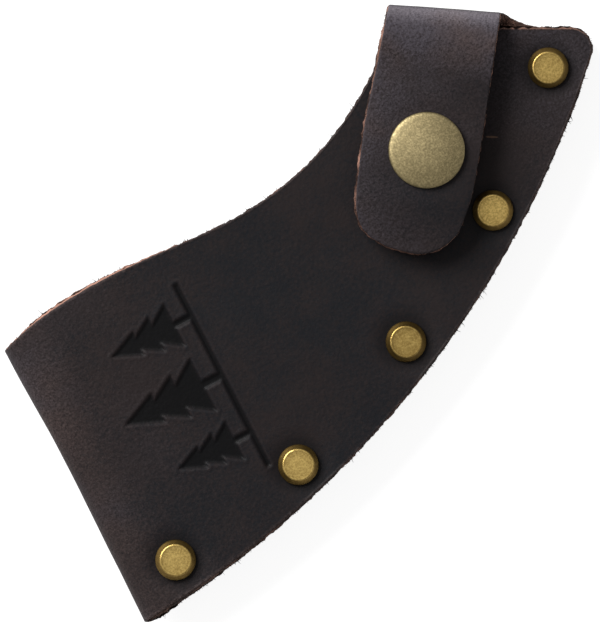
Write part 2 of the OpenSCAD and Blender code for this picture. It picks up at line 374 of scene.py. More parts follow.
def sheet_of_leather(
    outer: np.ndarray,
    inner: np.ndarray,
    raw: np.ndarray,
    slant: np.ndarray,
    cut: CutEdge,
    paint: dict[str, np.ndarray],
    seed: int,
) -> tuple[Mesh, Rim]:
    """Closed sheet between a fine outer grid and the same grid's inner side.

    The wall goes from the outer edge to the inner edge in rows. It is pushed outwards by its slant,
    by a swell that is greatest half-way down, and by a rough field of waves. The inner side keeps
    every second point of the grid, so both numbers of points are odd.

    Args:
        outer: grid of the grain side's points.
        inner: grid of the flesh side's points.
        raw: how raw the edge is at each point of the ring, from 0 at a seam to 1.
        slant: how far the wall leans outwards at each point of the ring.
        cut: the cut edge's proportions.
        paint: numbers for the outer grid's points, by name.
        seed: seed of the rough field.

    Returns:
        The mesh and its rim.
    """
    n, m = outer.shape[:2]
    ring = ring_of(n, m)
    raw = raw.copy()
    flat_outer, flat_inner = outer.reshape(-1, 3).copy(), inner.reshape(-1, 3)
    top, bottom = flat_outer[ring], flat_inner[ring]
    tangent = np.roll(top, -1, axis=0) - np.roll(top, 1, axis=0)
    outward = unit(np.cross(tangent, top - bottom))
    for corner in (side.start for side in ring_sides(n, m)):
        before, after = (corner - 1) % len(ring), (corner + 1) % len(ring)
        if raw[before] != raw[after]:
            kept = before if raw[before] > raw[after] else after
            outward[corner], raw[corner] = outward[kept], raw[kept]
    amount = raw[:, None]
    flat_outer[ring] = top - outward * cut.chamfer * amount
    rough = layered(top, seed, *cut.rough_waves)
    rows = []
    for share in cut.rows:
        lean = slant * share + cut.swell * math.sin(math.pi * share)
        grit = cut.roughness * (rough + layered(top + cut.grit_shift * share, seed + 2, cut.grit))
        reach = (lean + grit * min(1.0, share / cut.full_grit_at))[:, None] * amount
        row = top + (bottom - top) * share + outward * reach
        if share == cut.rows[0]:
            row = row - outward * cut.chamfer_depth * amount
        rows.append(row)
    count, base = len(ring), n * m
    wall = np.vstack([ring, base + np.arange(len(rows) * count).reshape(-1, count)])
    upper, lower = wall[:-1], wall[1:]
    wall_quads = np.stack([np.roll(upper, -1, axis=1), upper, lower, np.roll(lower, -1, axis=1)], axis=-1)
    coarse = inner[::2, ::2].reshape(-1, 3).copy()
    cn, cm = (n + 1) // 2, (m + 1) // 2
    index = base + len(rows) * count + np.arange(cn * cm).reshape(cn, cm)
    edge, last = ring_of(cn, cm), wall[-1]
    coarse[edge] = rows[-1][::2] - cut.hem * outward[::2]
    inner_quads = grid_quads(index)[:, ::-1]
    near, far = index.reshape(-1)[edge], np.roll(index.reshape(-1)[edge], -1)
    even, odd, after = last[::2], last[1::2], np.roll(last[::2], -1)
    fan_corners = ((odd, even, near), (odd, near, far), (after, odd, far))
    fans = np.vstack([np.stack(corners, axis=-1) for corners in fan_corners])
    points = np.vstack([flat_outer, *rows, coarse])
    quads = np.vstack([grid_quads(np.arange(base).reshape(n, m)), wall_quads.reshape(-1, 4), inner_quads])
    slots = np.concatenate([
        np.full((n - 1) * (m - 1), Face.GRAIN),
        np.full(count, Face.GRAIN),
        np.full((len(rows) - 1) * count, Face.CUT),
        np.full(len(inner_quads), Face.FLESH),
    ])
    painted = {}
    for key, value in paint.items():
        flat, coarse_paint = value.reshape(-1), value[::2, ::2].reshape(-1)
        painted[key] = np.concatenate([flat, np.tile(flat[ring], len(rows)), coarse_paint])
    used, renumbered = np.unique(np.concatenate([quads.reshape(-1), fans.reshape(-1)]), return_inverse=True)
    made = Mesh(
        points[used],
        renumbered[: quads.size].reshape(-1, 4),
        slots,
        renumbered[quads.size :].reshape(-1, 3),
        np.full(len(fans), Face.FLESH),
        {key: value[used] for key, value in painted.items()},
    )
    return made, Rim(rows[0], rows[-1], outward, raw)


def turned(profile: np.ndarray, centre: np.ndarray, sides: int, paint: dict[str, np.ndarray]) -> Mesh:
    """Solid of revolution about a vertical line: each (radius, height) becomes a circle.

    A profile that starts or ends on the axis is closed there by a fan of triangles, and one whose
    ends are both off the axis is closed on itself. Read upwards, its outside is on the right.

    Args:
        profile: radius and height of each point, in order.
        centre: place of the axis in the plane.
        sides: number of points round the axis.
        paint: numbers for the profile's points, by name.

    Returns:
        The mesh, in the finish GRAIN.
    """
    radius, height = profile.T
    start, end = int(radius[0] < ON_AXIS), len(profile) - int(radius[-1] < ON_AXIS)
    angle = circle_angles(sides)
    rings = np.stack([
        centre[0] + radius[start:end, None] * np.cos(angle),
        centre[1] + radius[start:end, None] * np.sin(angle),
        np.broadcast_to(height[start:end, None], (end - start, sides)),
    ], axis=-1)
    index = np.arange((end - start) * sides).reshape(-1, sides)
    if not start and end == len(profile):
        index = np.vstack([index, index[:1]])
    quads = band_quads(index)
    poles, tris = [], np.zeros((0, 3), int)
    number = (end - start) * sides
    if start:
        fan = np.stack([np.full(sides, number), np.roll(index[0], -1), index[0]], axis=-1)
        poles, tris, number = [[*centre, height[0]]], fan, number + 1
    if end < len(profile):
        fan = np.stack([index[-1], np.roll(index[-1], -1), np.full(sides, number)], axis=-1)
        poles, tris = [*poles, [*centre, height[-1]]], np.vstack([tris, fan])
    ends = ([0] if start else []) + ([len(profile) - 1] if end < len(profile) else [])
    painted = {
        key: np.concatenate([np.repeat(value[start:end], sides), value[ends]])
        for key, value in paint.items()
    }
    points = np.vstack([rings.reshape(-1, 3), np.array(poles, float).reshape(-1, 3)])
    return Mesh(points, quads, np.zeros(len(quads), int), tris, np.zeros(len(tris), int), painted)


@dataclass(frozen=True)
class Fibres:
    """Loose fibres that stand out of a cut edge: thin bent tubes of three sides.

    Each fibre starts at a random place on the wall, heads outwards with a random lean, and curls:
    p(t) = start + heading * t + curl * t^2, for t from 0 to its length. They stand in tufts.
    """

    length: float
    radius: float
    rings: int = 6
    sides: int = 3
    least_raw: float = 0.5
    tuft_waves: tuple[float, float] = (7.0, 2.4)
    down_wall: tuple[float, float] = (0.05, 1.0)
    sunk: float = 0.1
    spread: tuple[float, float, float] = (0.8, 0.8, 0.35)
    lean: float = 0.8
    curl: tuple[float, float] = (0.3, 1.1)
    length_spread: tuple[float, float] = (-0.25, 0.52)
    radius_spread: tuple[float, float] = (0.5, 1.5)
    taper: float = 0.75
    side_hint: tuple[float, float, float] = (0.3, 0.2, 0.93)

    def grow(self, rim: Rim, count: int, seed: int) -> Mesh:
        """Makes the fibres of an edge.

        Args:
            rim: the edge that they grow from.
            count: number of fibres.
            seed: seed of every random choice.

        Returns:
            The mesh, all in its first finish.
        """
        rng = np.random.default_rng(seed)
        stretch = np.linalg.norm(np.roll(rim.top, -1, axis=0) - rim.top, axis=1)
        stretch = stretch * (rim.raw > self.least_raw)
        wide, narrow = (waves(rim.top, length, seed + i) for i, length in enumerate(self.tuft_waves))
        weight = stretch * (0.25 + smooth(0.1, 1.0, wide) + 1.6 * smooth(0.5, 1.3, narrow))
        at = rng.choice(len(stretch), count, p=weight / weight.sum())
        share = rng.uniform(*self.down_wall, (count, 1))
        start = rim.top[at] * (1 - share) + rim.bottom[at] * share - self.sunk * rim.outward[at]
        lean = rng.normal(size=(count, 3)) * self.spread
        way = unit(rim.outward[at] + lean * self.lean)
        curl = unit(rng.normal(size=(count, 3))) * rng.uniform(*self.curl, (count, 1))
        reach = self.length * rng.lognormal(*self.length_spread, (count, 1))
        t = np.linspace(0.0, 1.0, self.rings)[None, :, None]
        spine = start[:, None] + reach[:, None] * (way[:, None] * t + curl[:, None] * t**2)
        side = unit(np.cross(way, self.side_hint))
        up = np.cross(way, side)
        angle = circle_angles(self.sides)
        ring = side[:, None] * np.cos(angle)[None, :, None] + up[:, None] * np.sin(angle)[None, :, None]
        thick = self.radius * rng.uniform(*self.radius_spread, (count, 1, 1, 1))
        thick = thick * (1.0 - self.taper * t[..., None])
        points = (spine[:, :, None] + ring[:, None] * thick).reshape(-1, 3)
        index = np.arange(len(points)).reshape(count, self.rings, self.sides)
        quads = band_quads(index)
        caps = np.vstack([index[:, 0, ::-1], index[:, -1]])
        quad_faces, cap_faces = (np.full(len(faces), Face.GRAIN) for faces in (quads, caps))
        return Mesh(points, quads, quad_faces, caps, cap_faces, {})


STRAP_FIBRES = Fibres(length=0.27, radius=0.08)
EDGE_FIBRES = Fibres(length=0.25, radius=0.085)
# Numbers of fibres along the edges of the strap's flap and root, of each hide and of each welt.
FLAP_COUNT, ROOT_COUNT, HIDE_COUNT, WELT_COUNT = 1100, 300, 2100, 500


# ---------------------------------------------------------------- the frame's places


def box_mm(node: str) -> tuple[np.ndarray, np.ndarray]:
    """Lowest and highest corners of a CAD node, in millimetres."""
    low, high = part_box(node)
    return np.array(low) / MM, np.array(high) / MM


def centre_mm(node: str) -> np.ndarray:
    """Middle of a CAD node's box in plan, in millimetres."""
    low, high = box_mm(node)
    return (0.5 * (low + high))[:2]


def round_mm(node: str) -> tuple[float, float, float]:
    """Radius, lowest level and highest level of an upright round CAD node, in millimetres."""
    low, high = box_mm(node)
    return 0.5 * (high[0] - low[0]), low[2], high[2]


@dataclass(frozen=True)
class Outline:
    """The sheath's outline in plan: fold, mouth, end edge and cutting edge, in millimetres."""

    fold_x: float
    edge_centre: tuple[float, float] = (-77.5, 155.5)
    edge_r: float = 198.8
    welt_w: float = 12.5
    mouth_split: float = -20.0
    mouth_end: float = 31.6
    mouth_heights: tuple[tuple[float, ...], ...] = (
        (17.0, 21.9, 20.35, 19.4), (19.4, 18.35, 22.26, 38.4),
    )
    end_point: tuple[float, float] = (50.4, 28.7)
    end_angle: float = math.radians(-27.3)
    heel_r: float = 3.9
    corner_r: float = 2.0

    def edge_y(self, x: np.ndarray) -> np.ndarray:
        """Height of the cutting edge's circle at x."""
        return self.edge_centre[1] - np.sqrt(self.edge_r**2 - (x - self.edge_centre[0]) ** 2)

    def mouth_y(self, x: np.ndarray) -> np.ndarray:
        """Height of the mouth at x: two cubic Bernstein curves that meet at the split."""
        spans = ((self.fold_x, self.mouth_split), (self.mouth_split, self.mouth_end))
        ys = []
        for (start, end), (a, b, c, d) in zip(spans, self.mouth_heights):
            t = (x - start) / (end - start)
            s = 1.0 - t
            ys.append(a * s**3 + 3 * b * s * s * t + 3 * c * s * t * t + d * t**3)
        return np.where(x < self.mouth_split, *ys)

    def along_end(self) -> tuple[np.ndarray, np.ndarray]:
        """Direction of the end edge towards the heel, and the one inwards from it."""
        run = np.array([math.cos(self.end_angle), math.sin(self.end_angle)])
        return run, np.array([run[1], -run[0]])

    def heel(self, setback: float, count: int) -> np.ndarray:
        """Arc of the heel corner, from the cutting edge to the end edge.

        Args:
            setback: how far the end edge lies inwards of its line.
            count: number of points.

        Returns:
            The arc's points; its circle touches both edges from inside.
        """
        run, inward = self.along_end()
        start = np.array(self.end_point) + inward * (self.heel_r + setback)
        middle = start + run * run_to_circle(start - self.edge_centre, run, self.edge_r - self.heel_r)
        return arc(middle, self.heel_r, heading(middle - self.edge_centre), heading(-inward), count)

    def corner(self, setback: float, count: int) -> np.ndarray:
        """Arc between the mouth and the end edge, where a circle of the corner's radius touches both.

        Args:
            setback: how far the end edge lies inwards of its line.
            count: number of points.

        Returns:
            The arc's points, from the mouth to the end edge.
        """
        _, inward = self.along_end()
        x = np.linspace(self.mouth_split, self.mouth_end, SECTION_SAMPLES)
        mouth = np.stack([x, self.mouth_y(x)], axis=-1)
        side = unit(np.gradient(mouth, axis=0))
        offset = mouth + self.corner_r * np.stack([side[:, 1], -side[:, 0]], axis=-1)
        gap = (offset - self.end_point) @ inward - setback - self.corner_r
        at = np.argmin(np.abs(gap))
        first = math.atan2(side[at, 0], -side[at, 1])
        return arc(offset[at], self.corner_r, first, heading(-inward), count)


@dataclass(frozen=True)
class FoldSection:
    """Cross-section of the folded hide: a flat sheet that eases round into the fold.

    Half the section follows z = z0 + h * sqrt(1 - t^5), with t = (x0 - x) / run, which is flat at
    x0 and has a round tip of radius about 3 mm at the fold.
    """

    tip_x: float
    low_z: float
    high_z: float
    run: float = 20.0
    power: float = 5.0

    def upper(self, count: int) -> np.ndarray:
        """Upper half as (x, z), from the tip to the flat: even steps of the angle with sin^2 = t^5."""
        angle = np.linspace(0.5 * np.pi, 0.0, count)
        t = np.sin(angle) ** (2.0 / self.power)
        half = 0.5 * (self.high_z - self.low_z)
        x = self.tip_x + self.run * (1.0 - t)
        return np.stack([x, self.low_z + half * (1.0 + np.cos(angle))], axis=-1)

    def lower(self, count: int) -> np.ndarray:
        """Lower half as (x, z), from the flat to the tip."""
        mirrored = self.upper(count)[::-1].copy()
        mirrored[:, 1] = self.low_z + self.high_z - mirrored[:, 1]
        return mirrored


@dataclass(frozen=True)
class StrapFrame:
    """The strap's own directions: a across it, d towards its tip."""

    origin: tuple[float, float] = (42.5, 36.95)
    angle: float = math.radians(-31.4)

    def plan(self, a: np.ndarray, d: np.ndarray) -> np.ndarray:
        """Places in plan of points across and along the strap."""
        c, s = math.cos(self.angle), math.sin(self.angle)
        return np.stack([self.origin[0] + a * c + d * s, self.origin[1] + a * s - d * c], axis=-1)

    def local(self, points: np.ndarray) -> tuple[np.ndarray, np.ndarray]:
        """The two strap coordinates of places in plan."""
        c, s = math.cos(self.angle), math.sin(self.angle)
        x, y = points[..., 0] - self.origin[0], points[..., 1] - self.origin[1]
        return x * c + y * s, x * s - y * c


# ---------------------------------------------------------------- finishes


class Value:
    """A node's output that does maths: an operator adds the node that works it out."""

    def __init__(self, graph: "Graph", socket: bpy.types.NodeSocket) -> None:
        """Wraps an output of one of the graph's nodes."""
        self.graph = graph
        self.socket = socket

    def _math(self, operation: str, *values: "Value | float") -> "Value":
        """Adds a Math node for the values."""
        return self.graph.node("ShaderNodeMath", {"operation": operation}, dict(enumerate(values)))

    def __add__(self, other: "Value | float") -> "Value":
        """Sum of two values."""
        return self._math("ADD", self, other)

    def __sub__(self, other: "Value | float") -> "Value":
        """This value less another."""
        return self._math("SUBTRACT", self, other)

    def __rsub__(self, other: float) -> "Value":
        """A number less this value."""
        return self._math("SUBTRACT", other, self)

    def __mul__(self, other: "Value | float") -> "Value":
        """Product of two values."""
        return self._math("MULTIPLY", self, other)

    __radd__ = __add__
    __rmul__ = __mul__

    def step(self, lo: float, hi: float, start: float = 0.0, end: float = 1.0) -> "Value":
        """Smooth step of the value from start at lo to end at hi."""
        inputs = dict(enumerate((self, lo, hi, start, end)))
        return self.graph.node("ShaderNodeMapRange", {"interpolation_type": "SMOOTHSTEP"}, inputs)


Colour = tuple[float, float, float]


class Graph:
    """A material's node tree, with one method that makes any node."""

    def __init__(self, name: str) -> None:
        """Starts a material with the plain shader and the object's own coordinates."""
        self.material = bpy.data.materials.new(name)
        self.material.use_nodes = True
        self.tree = self.material.node_tree
        self.shader = self.tree.nodes["Principled BSDF"]
        self.place = self.node("ShaderNodeTexCoord", {}, {}, "Object")

    def node(self, kind: str, settings: dict, inputs: dict, output: int | str = 0) -> Value:
        """Adds a node.

        Args:
            kind: the node's type.
            settings: its properties, set before its sockets.
            inputs: values or constants by socket.
            output: the output to hand back.

        Returns:
            That output.
        """
        made = self.tree.nodes.new(kind)
        for key, value in settings.items():
            setattr(made, key, value)
        for key, value in inputs.items():
            self.feed(made.inputs[key], value)
        return Value(self, made.outputs[output])

    def feed(self, socket: bpy.types.NodeSocket, value: "Value | float | Colour") -> None:
        """Links a value to a socket, or sets the constant on it."""
        if isinstance(value, Value):
            self.tree.links.new(value.socket, socket)
        elif isinstance(value, tuple) and len(value) == 3 and socket.type == "RGBA":
            socket.default_value = (*value, 1.0)
        else:
            socket.default_value = value

    def mix(self, share: "Value | float", first: "Value | Colour", second: "Value | Colour") -> Value:
        """Colour between first, at share 0, and second, at share 1."""
        return self.node("ShaderNodeMix", {"data_type": "RGBA"}, {0: share, 6: first, 7: second}, 2)

    def noise(
        self, scale: float, detail: float = 2.0, roughness: float = 0.5, place: Value | None = None
    ) -> Value:
        """Noise between 0 and 1, with the scale in features per metre."""
        inputs = {"Vector": place or self.place, "Scale": scale, "Detail": detail, "Roughness": roughness}
        return self.node("ShaderNodeTexNoise", {}, inputs)

    def cells(self, scale: float, feature: str = "F1") -> Value:
        """Distance to the cells of a Voronoi pattern, with the scale in cells per metre."""
        inputs = {"Vector": self.place, "Scale": scale}
        return self.node("ShaderNodeTexVoronoi", {"feature": feature}, inputs, "Distance")

    def stretched(self, factors: Colour) -> Value:
        """Object coordinates multiplied by factors."""
        return self.node("ShaderNodeVectorMath", {"operation": "MULTIPLY"}, {0: self.place, 1: factors})

    def painted(self, name: str) -> Value:
        """A number painted on the mesh's points."""
        return self.node("ShaderNodeAttribute", {"attribute_name": name}, {}, "Fac")

    def bump(self, height: Value, depth: float) -> Value:
        """Normal of a surface with that height, times a depth in metres."""
        return self.node("ShaderNodeBump", {}, {"Height": height, "Distance": depth, "Strength": 1.0})

    def finish(self, **inputs: "Value | float | Colour") -> bpy.types.Material:
        """Sets the shader's sockets, by name with spaces as underscores."""
        for key, value in inputs.items():
            self.feed(self.shader.inputs[key.replace("_", " ")], value)
        return self.material


@dataclass(frozen=True)
class GrainFinish:
    """Oiled pull-up leather: nearly black, redder and paler where stretched or bent, with painted sheen and
    shade.

    Scales are features per metre, and depths and the graze's place and size are in metres.
    """

    deep: Colour = (0.0098, 0.0106, 0.0130)
    brown: Colour = (0.0202, 0.0150, 0.0150)
    pulled: Colour = (0.070, 0.049, 0.046)
    cool: Colour = (0.061, 0.053, 0.063)
    # Painted sheen: the pale grey highlight painted along the top of the strap's bend.
    bend_sheen_colour: Colour = (0.20, 0.178, 0.20)
    # Colour of the pressed stamp, also used for the painted shade round the rivets.
    pressed: Colour = (0.0022, 0.0022, 0.0026)
    bared: Colour = (0.12, 0.072, 0.05)
    cloud_scale: float = 60.0
    mottle_scale: float = 1250.0
    speck_scale: float = 2700.0
    chill_scale: float = 130.0
    pebble_scale: float = 1500.0
    pore_scale: float = 2600.0
    wrinkle_scale: float = 420.0
    grain_depth: float = 0.00012
    roughness: float = 0.52
    sheen: float = 0.12
    graze_at: tuple[float, float, float] = (0.0391, 0.0103, 0.010)
    graze_size: tuple[float, float] = (0.0012, 0.00022)
    graze_angle: float = math.radians(-30.0)
    graze_fade: float = 0.0005
    fray_scale: float = 2400.0

    def graze(self, g: Graph) -> Value:
        """One small graze beside the strap, where the dye is scraped through: an ellipse in plan."""
        x, y, z = (g.node("ShaderNodeSeparateXYZ", {}, {0: g.place}, axis) for axis in "XYZ")
        x, y = x - self.graze_at[0], y - self.graze_at[1]
        c, s = math.cos(self.graze_angle), math.sin(self.graze_angle)
        along = (x * c + y * s) * (1.0 / self.graze_size[0])
        across = (y * c - x * s) * (1.0 / self.graze_size[1])
        away = along * along + across * across + (g.noise(self.fray_scale) - 0.5) * 1.2
        return away.step(0.5, 1.3, 1.0, 0.0) * z.step(self.graze_at[2], self.graze_at[2] + self.graze_fade)

    def build(self) -> bpy.types.Material:
        """Makes the material: cloudy colour, pebbled grain, pores, a small graze, a painted sheen and
        painted shade.
        """
        g = Graph("hide_grain")
        pull, press_and_shade = g.painted("pull"), g.painted("press_and_shade")
        cloud = g.noise(self.cloud_scale, 4.0, 0.6)
        mottle = g.noise(self.mottle_scale, 4.0, 0.65)
        speck = g.noise(self.speck_scale, 2.0, 0.6)
        share = (cloud * 1.1 + mottle * 0.8 + speck * 0.6 + pull * 0.6).step(0.95, 1.55)
        colour = g.mix(share, self.deep, self.brown)
        grit = (mottle - 0.5) * 1.5 + (speck - 0.5) * 3.0
        stretch = (pull + grit * (pull * 0.85 + 0.13)).step(0.0, 1.5)
        chill = (g.painted("cool") + (g.noise(self.chill_scale, 3.0) - 0.5) * 1.6).step(0.0, 1.0)
        colour = g.mix(stretch, colour, g.mix(chill, self.pulled, self.cool))
        # Painted sheen: where the pull passes 1.25, mostly on the strap's bend, the colour turns to the
        # pale grey highlight.
        colour = g.mix((pull + grit * 0.25).step(1.25, 2.25), colour, self.bend_sheen_colour)
        # The pressed stamp and the painted shade round the rivets darken the colour.
        colour = g.mix(press_and_shade * 0.95, colour, self.pressed)
        colour = g.mix(self.graze(g), colour, self.bared)
        pebbles = g.cells(self.pebble_scale, "SMOOTH_F1")
        pores = g.cells(self.pore_scale)
        relief = pebbles.step(0.1, 0.7, 1.0, 0.0) * 0.5 + speck * 0.6 + pores.step(0.0, 0.35) * 0.25
        wrinkles = g.noise(self.wrinkle_scale, 5.0, 0.65)
        height = relief * (0.35 + pull * 0.9 - press_and_shade * 0.25) + wrinkles * (0.18 + pull * 0.8)
        rough = self.roughness + (mottle - 0.5) * 0.2 + pull * 0.12 - press_and_shade * 0.05
        return g.finish(
            Base_Color=colour,
            Roughness=rough,
            Specular_IOR_Level=self.sheen,
            Normal=g.bump(height, self.grain_depth),
        )


@dataclass(frozen=True)
class FleshFinish:
    """The hide's brushed inner side: dark brown, matt, with a short nap."""

    dark: Colour = (0.012, 0.0075, 0.0065)
    light: Colour = (0.042, 0.023, 0.018)
    nap_scale: float = 1500.0
    patch_scale: float = 160.0
    tuft_scale: float = 2400.0
    nap_depth: float = 0.0002
    roughness: float = 0.95
    sheen: float = 0.15

    def build(self) -> bpy.types.Material:
        """Makes the material: colour from nap and patches, relief from nap and tufts."""
        g = Graph("hide_flesh")
        nap = g.noise(self.nap_scale, 6.0, 0.7)
        patch = g.noise(self.patch_scale, 3.0)
        colour = g.mix((nap * 0.8 + patch * 0.5).step(0.4, 0.95), self.dark, self.light)
        height = nap + g.cells(self.tuft_scale) * 0.5
        return g.finish(
            Base_Color=colour,
            Roughness=self.roughness,
            Specular_IOR_Level=self.sheen,
            Normal=g.bump(height, self.nap_depth),
        )


@dataclass(frozen=True)
class CutFinish:
    """The hide's raw cut edge: tan fibres in layers, dark dye along the grain side, and painted light."""

    name: str = "hide_cut"
    dark: Colour = (0.018, 0.0095, 0.0075)
    light: Colour = (0.44, 0.235, 0.175)
    layer_scale: float = 1500.0
    layer_stretch: tuple[float, float, float] = (0.35, 0.35, 1.6)
    tuft_scale: float = 2200.0
    patch_scale: float = 140.0
    fibre_depth: float = 0.00018
    roughness: float = 0.95
    sheen: float = 0.1

    def build(self) -> bpy.types.Material:
        """Makes the material: streaks that run round the edge, broken up by fibres."""
        g = Graph(self.name)
        layers = g.noise(self.layer_scale, 4.0, 0.7, g.stretched(self.layer_stretch))
        tufts = g.noise(self.tuft_scale, 3.0, 0.7)
        patch = g.noise(self.patch_scale, 3.0)
        # Painted light: the number painted on the mesh makes cut edges that face the key light paler.
        share = (layers * 0.8 + tufts * 0.7 + patch * 0.3 + g.painted("painted_edge_light") * 0.55).step(0.8, 1.65)
        height = layers * 1.2 + tufts
        return g.finish(
            Base_Color=g.mix(share, self.dark, self.light),
            Roughness=self.roughness,
            Specular_IOR_Level=self.sheen,
            Normal=g.bump(height, self.fibre_depth),
        )


@dataclass(frozen=True)
class MetalFinish:
    """Antique brass: a plated surface, darkened and then rubbed bright where hands reach it."""

    name: str
    bright: Colour
    dark: Colour
    patina: Colour
    roughness: float
    speckle: float
    fine_scale: float = 2600.0
    blotch_scale: float = 1000.0
    scratch_scale: float = 1200.0
    scratch_stretch: tuple[float, float, float] = (1.0, 6.0, 1.0)
    scratch_depth: float = 0.000012

    def build(self) -> bpy.types.Material:
        """Makes the material: speckled patina, heavier where the mesh says so, and fine scratches."""
        g = Graph(self.name)
        worn = g.painted("patina")
        fine = g.noise(self.fine_scale, 3.0, 0.7)
        blotch = g.noise(self.blotch_scale, 4.0, 0.6)
        share = (fine * self.speckle + blotch * 0.3 + worn * 0.3).step(0.4, 0.85)
        colour = g.mix(share, self.bright, self.dark)
        colour = g.mix(worn * (0.75 + blotch * 0.5), colour, self.patina)
        lines = g.noise(self.scratch_scale, 3.0, 0.6, g.stretched(self.scratch_stretch))
        height = fine * 0.7 + lines * 0.4
        rough = self.roughness + (fine - 0.5) * 0.25 + worn * 0.12
        normal = g.bump(height, self.scratch_depth)
        return g.finish(Base_Color=colour, Metallic=1.0, Roughness=rough, Normal=normal)


FUZZ = CutFinish("hide_fuzz", (0.010, 0.0055, 0.0045), (0.13, 0.062, 0.044))
RIVET_BRASS = MetalFinish(
    "rivet_brass",
    (0.88, 0.63, 0.21),
    (0.44, 0.29, 0.085),
    (0.135, 0.085, 0.025),
    roughness=0.36,
    speckle=0.9,
)
SNAP_BRASS = MetalFinish(
    "snap_brass",
    (0.63, 0.51, 0.27),
    (0.30, 0.245, 0.13),
    (0.13, 0.10, 0.04),
    roughness=0.54,
    speckle=1.0,
)
INNER_BRASS = MetalFinish(
    "snap_inner",
    (0.62, 0.50, 0.28),
    (0.36, 0.27, 0.13),
    (0.15, 0.11, 0.05),
    roughness=0.34,
    speckle=0.7,
)
SPRING_STEEL = MetalFinish(
    "spring_steel",
    (0.62, 0.62, 0.62),
    (0.36, 0.36, 0.37),
    (0.15, 0.14, 0.13),
    roughness=0.28,
    speckle=0.5,
)


# ---------------------------------------------------------------- the sheath's pieces


@dataclass
class Leathers:
    """The finishes that every leather piece shares."""

    grain: bpy.types.Material
    flesh: bpy.types.Material
    cut: bpy.types.Material

    @property
    def all(self) -> list[bpy.types.Material]:
        """The materials in the order of Face."""
        return [self.grain, self.flesh, self.cut]

    def sheet(self, name: str, shape: Mesh, rim: Rim) -> tuple[bpy.types.Object, Rim]:
        """Makes a sheet's object in these finishes, and hands back its rim beside it."""
        return shape.piece(name, self.all), rim


@dataclass(frozen=True)
class Stamp:
    """Generic embossed mark: three firs over a line of ground.

    The ground is a length and a thickness, the lip a height, a distance out and a width, and each
    tier a share of the fir's half width and of its height.
    """

    centre: tuple[float, float] = (-41.0, -7.0)
    tree_h: float = 19.0
    shares: tuple[float, ...] = (0.8, 1.0, 0.72)
    places: tuple[float, ...] = (13.0, 0.0, -12.5)
    width_share: float = 0.3
    ground: tuple[float, float] = (40.0, 0.9)
    ground_drop: float = 1.8
    depth: float = 0.38
    wall: float = 0.36
    lip: tuple[float, float, float] = (0.07, 0.55, 0.3)
    tiers: tuple[tuple[float, float], ...] = (
        (0.0, 1.0), (0.55, 0.62), (0.3, 0.62), (0.8, 0.36),
        (0.42, 0.36), (1.0, 0.1), (0.14, 0.1), (0.14, 0.0),
    )

    def distance(self, points: np.ndarray) -> np.ndarray:
        """Signed distance from places in plan to the mark's outlines, negative inside them."""
        local = points - self.centre
        local = np.stack([local[..., 1], -local[..., 0]], axis=-1)
        foot = -0.5 * self.tree_h
        half = np.array(self.tiers)
        least = np.full(points.shape[:-1], np.inf)
        for share, place in zip(self.shares, self.places):
            h = self.tree_h * share
            right = half * [self.width_share * h, h]
            right[-1, 1] = -self.ground_drop - 0.5 * self.ground[1]
            tree = np.vstack([right, (right[1:] * [-1, 1])[::-1]]) + [place, foot]
            least = np.minimum(least, outline_distance(local, tree))
        x, y = 0.5 * self.ground[0], foot - self.ground_drop
        bar = np.array([[-x, y - self.ground[1]], [x, y - self.ground[1]], [x, y], [-x, y]])
        return np.minimum(least, outline_distance(local, bar))

    def relief(self, points: np.ndarray) -> tuple[np.ndarray, np.ndarray]:
        """Height of the stamped surface, and how far each place is pressed, from 0 to 1."""
        distance = self.distance(points)
        pressed = 1.0 - smooth(-self.wall, self.wall, distance)
        lip_h, lip_at, lip_w = self.lip
        lip = lip_h * np.exp(-(((distance - lip_at) / lip_w) ** 2))
        return lip - self.depth * pressed, pressed


